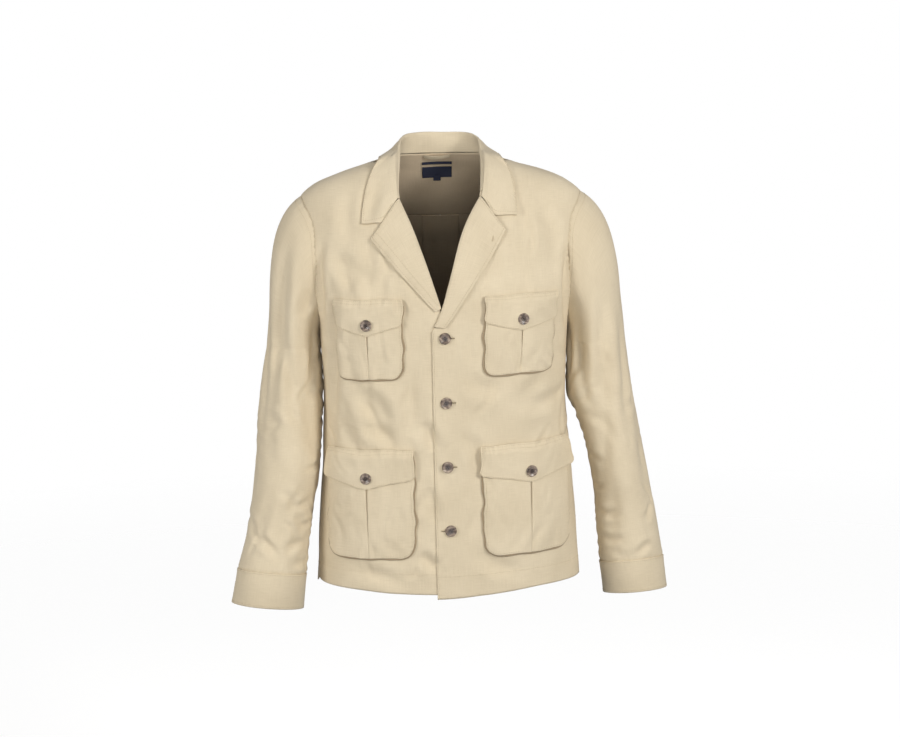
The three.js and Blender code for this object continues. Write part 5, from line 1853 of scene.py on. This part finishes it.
CUFF_LEFT = ((-648, 294.5, -20, 50.7, 55.7, 0.08), (-675, 297.5, -20, 50.5, 56, 0.08),
             (-700, 300, -20, 50.3, 56, 0.08))

# Long troughs down the sleeves: from and to height, the turn at each, depth and width.
DIPS_RIGHT = (
    (-296, -470, -1.72, -2.6, 6.5, 0.3), (-300, -500, -0.72, -1.12, 4, 0.26),
    (-455, -610, -1.5, -0.8, 4, 0.3), (-480, -640, -1.62, -1.72, 3, 0.22),
    (-480, -610, 1.9, 1.2, 4, 0.35), (-345, -490, 3.14, 3.14, 2.6, 0.6),
    (-345, -490, -3.14, -3.14, 2.6, 0.6))
DIPS_LEFT = (
    (-300, -560, -1.15, -2.6, 7, 0.3), (-500, -640, -1.95, -2.3, 5, 0.28),
    (-400, -600, -0.5, -0.8, 3.5, 0.25), (-296, -400, -2.05, -1.5, 3.5, 0.25),
    (-350, -560, 1.2, 2.0, 4, 0.35))

# Short creases on the sleeves: depth, half width, then places, turn and z.
CREASES_RIGHT = (
    (2.6, 6, (-1.04, -585), (-1.34, -598), (-1.6, -611)),
    (2.2, 6, (-2.6, -528), (-2.2, -535), (-1.95, -538)),
    (2.4, 6, (-2.73, -590), (-2.3, -595), (-2.0, -601)),
    (2.0, 5, (-2.9, -470), (-2.5, -478), (-2.2, -480)),
    (2.0, 5, (-2.9, -560), (-2.6, -565), (-2.35, -566)),
    (2.2, 6, (-2.9, -618), (-2.5, -625), (-2.2, -627)), (2.4, 7, (1.2, -420), (1.8, -440), (2.3, -442)),
    (2.4, 7, (1.3, -540), (1.8, -556), (2.4, -560)), (2.2, 7, (0.3, -480), (0.6, -500), (0.9, -508)))
CREASES_LEFT = (
    (2.6, 6, (-2.83, -565), (-2.3, -570), (-1.93, -567)),
    (2.4, 6, (-2.81, -605), (-2.24, -612), (-1.77, -610)),
    (2.0, 5, (-2.95, -520), (-2.6, -526), (-2.35, -524)),
    (2.2, 6, (-2.9, -470), (-2.5, -480), (-2.3, -484)),
    (2.4, 6, (-1.5, -640), (-1.2, -628), (-0.9, -622)),
    (2.0, 6, (-0.6, -560), (-0.8, -575), (-1.1, -582)), (2.4, 7, (1.2, -420), (1.8, -440), (2.3, -442)),
    (2.4, 7, (1.3, -540), (1.8, -556), (2.4, -560)), (2.2, 7, (0.3, -480), (0.6, -500), (0.9, -508)))

# Long folds from the armholes down: depth, half width, then places across and along.
FOLDS_RIGHT = (
    (5.5, 12, (0.37, 0.10), (0.335, 0.22), (0.33, 0.36), (0.34, 0.48)),
    (4.0, 8, (0.15, 0.14), (0.13, 0.24), (0.115, 0.38), (0.13, 0.5)),
    (3.0, 8, (0.29, 0.3), (0.25, 0.42), (0.22, 0.56)),
    (2.6, 7, (0.42, 0.28), (0.405, 0.42), (0.41, 0.6)),
    (3.4, 10, (0.2, 0.04), (0.19, 0.12), (0.2, 0.2)))
FOLDS_LEFT = (
    (4.2, 10, (0.16, 0.16), (0.14, 0.26), (0.14, 0.4), (0.18, 0.56)),
    (3.6, 10, (0.3, 0.2), (0.27, 0.34), (0.25, 0.5)), (3.0, 9, (0.4, 0.3), (0.38, 0.45), (0.33, 0.62)),
    (3.0, 8, (0.08, 0.2), (0.06, 0.32), (0.07, 0.44)))

# The pockets, as the fields of Pocket from its name on.
POCKETS = (
    ("chest_pocket_right", -1, 118.5, -210, 105, 122, 19, 12, (109, 39, 56, 38, 0)),
    ("chest_pocket_left", 1, 121.5, -206, 113, 121, 19, 12, (118, 39, 56, 38, 0), (0.035, 0.055)),
    ("hip_pocket_right", -1, 125.5, -442, 145, 170, 26, 16, (149, 45, 62, 44, 4)),
    ("hip_pocket_left", 1, 128.5, -436, 147, 172, 26, 16, (156, 45, 62, 44, 6), (0.045, 0.0)))

# The front buttons' x, z and the side their buttonhole shows on, and how far off its middle is.
FRONT_BUTTONS = ((0, -270, 1), (0, -370, 1), (0, -470, 1), (3, -570, -1))
HOLE_REACH = 9.5

# Creases on the fronts and the back: depth, half width, then places x and z.
FRONT_CREASES = (
    (4.2, 10, (-163, -138), (-151, -169), (-138, -200)),
    (4.2, 11, (-150, -142), (-126, -172), (-100, -204)),
    (4.5, 8, (-184, -120), (-191, -160), (-190, -200), (-186, -250)),
    (4.5, 8, (196, -130), (193, -165), (190, -207), (190, -256)),
    (4.0, 11, (-172, -205), (-168, -240), (-170, -275)),
    (5.5, 13, (-139, -346), (-113, -386), (-87, -426)),
    (4.0, 10, (-129, -403), (-108, -416), (-84, -431)),
    (3.5, 10, (-118, -345), (-100, -372), (-84, -400)),
    (4.5, 10, (-38, -398), (-27, -420), (-19, -445)), (3.0, 10, (-34, -500), (-25, -525), (-22, -560)),
    (3.5, 9, (-48, -606), (-34, -618), (-23, -630)), (3.0, 12, (182, -366), (145, -376), (104, -378)),
    (2.6, 11, (22, -420), (43, -446), (52, -480)), (2.4, 12, (30, -330), (60, -350), (90, -352)),
    (2.6, 12, (40, -600), (70, -625), (110, -640)), (2.4, 10, (-150, -632), (-110, -640), (-70, -652)),
    (2.6, 11, (62, -120), (74, -150), (70, -190)), (2.4, 12, (150, -80), (168, -110), (176, -150)),
    (4.5, 12, (-96, -30), (-108, -62), (-122, -104)), (3.4, 12, (-138, -52), (-146, -86), (-142, -124)),
    (3.2, 11, (-120, -112), (-112, -150), (-104, -186)),
    (3.0, 10, (-84, -150), (-92, -176), (-96, -204)),
    (5.0, 11, (-178, -228), (-172, -300), (-176, -392)),
    (3.6, 12, (-60, -330), (-52, -372), (-58, -424)),
    (3.2, 10, (-148, -404), (-150, -420), (-146, -438)), (3.0, 10, (112, -48), (124, -84), (126, -128)),
    (2.6, 12, (150, -330), (134, -352), (104, -366)))
BACK_CREASES = (
    (4.0, 9, (-150, -150), (-120, -200), (-95, -260)), (4.0, 9, (155, -160), (128, -215), (100, -270)),
    (3.5, 10, (-120, -420), (-80, -445), (-35, -455)), (3.5, 10, (125, -405), (85, -440), (40, -462)),
    (3.0, 11, (-90, -520), (-70, -590), (-66, -650)), (3.0, 11, (95, -500), (74, -580), (70, -650)),
    (4.2, 9, (-176, -190), (-186, -240), (-180, -300)), (4.2, 9, (178, -185), (187, -238), (181, -300)))


def body_creases(skin: BodySkin) -> list[Crease]:
    """Return the creases of the fronts and the back."""
    made = []
    for rows, face in ((FRONT_CREASES, Face.FRONT), (BACK_CREASES, Face.BACK)):
        for depth, width, *places in rows:
            at = np.array(places, float)
            line = Curve(at[:, 1], at[:, 0])
            z = np.linspace(at[0, 1], at[-1, 1], 9)
            made.append(Crease(skin.at_x(line(z), face, z), depth, width))
    strewn = ((Face.FRONT, (-188, -12, -640, -120), 75, 3), (Face.FRONT, (20, 188, -640, -110), 26, 4),
              (Face.BACK, (-190, 190, -655, -110), 70, 5))
    for face, area, count, seed in strewn:
        made += strew(lambda x, z: skin.at_x(x, face, z), area, count, seed)
    return made


def main() -> None:
    """Build the jacket and its studio, in order."""
    logging.basicConfig(level=logging.INFO, format="%(message)s")
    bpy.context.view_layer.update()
    skin = BodySkin()
    drape = Drape(body_creases(skin))
    finishes = (
        # The inside linen is darkened below the neck with painted shade.
        Linen(), Linen("linen_inside_painted_shade", inside=True), Horn(),
        # The gusset's linen is darker: painted shade in the recess under a pocket's edge.
        Linen("linen_fold_painted_shade", (0.42, 0.33, 0.215, 1), (0.33, 0.25, 0.16, 1)),
        PlainFinish("label_navy", (0.030, 0.036, 0.075, 1), (0.014, 0.018, 0.042, 1), 900, 0.75, 0.00008),
        # The thread is darker than the cloth: painted shade for the stitches' small shadows and dimples.
        PlainFinish("thread", (0.62, 0.52, 0.36, 1), (0.50, 0.41, 0.27, 1), 1500, 0.7, 0.00006),
        PlainFinish("dark_thread", (0.075, 0.055, 0.05, 1), (0.035, 0.026, 0.024, 1), 1500, 0.8, 0.00006),
        PlainFinish("shade", (0.10, 0.075, 0.05, 1), (0.06, 0.045, 0.03, 1), 900, 0.95, 0.00002),
    )
    tailor = Tailor(skin, drape, {f.name: f.make() for f in finishes})
    fronts = Fronts(tailor)
    fronts.make()
    Back(tailor).make()
    for row in (("right", -1, SLEEVE_RIGHT, CUFF_RIGHT, DIPS_RIGHT, CREASES_RIGHT, FOLDS_RIGHT, 0.82, 0.15),
                ("left", 1, SLEEVE_LEFT, CUFF_LEFT, DIPS_LEFT, CREASES_LEFT, FOLDS_LEFT, 0.75, 0.1)):
        Sleeve(tailor, *row).make()
    Collar(tailor).make()
    buttons = Buttons(tailor)
    Lapels(tailor, fronts).make(buttons)
    for row in POCKETS:
        Pocket(tailor, *row).make(buttons)
    for i, (x, z, way) in enumerate(FRONT_BUTTONS):
        points = skin.at_x([[x], [x + way * HOLE_REACH]], Face.FRONT, z)
        at, hole = (Laid(point, skin.facing(point), np.zeros((1, 2))) for point in points)
        buttons.sew_on(f"front_button_{i + 1}", at, fronts.over_lift + 0.2, turn=0.3 * i)
        buttons.worked_hole(f"front_buttonhole_{i + 1}", hole, fronts.over_lift + STITCH_LIFT, 11.0)
    NeckPieces(tailor).make()
    Studio().make()


if __name__ == "__main__":
    main()
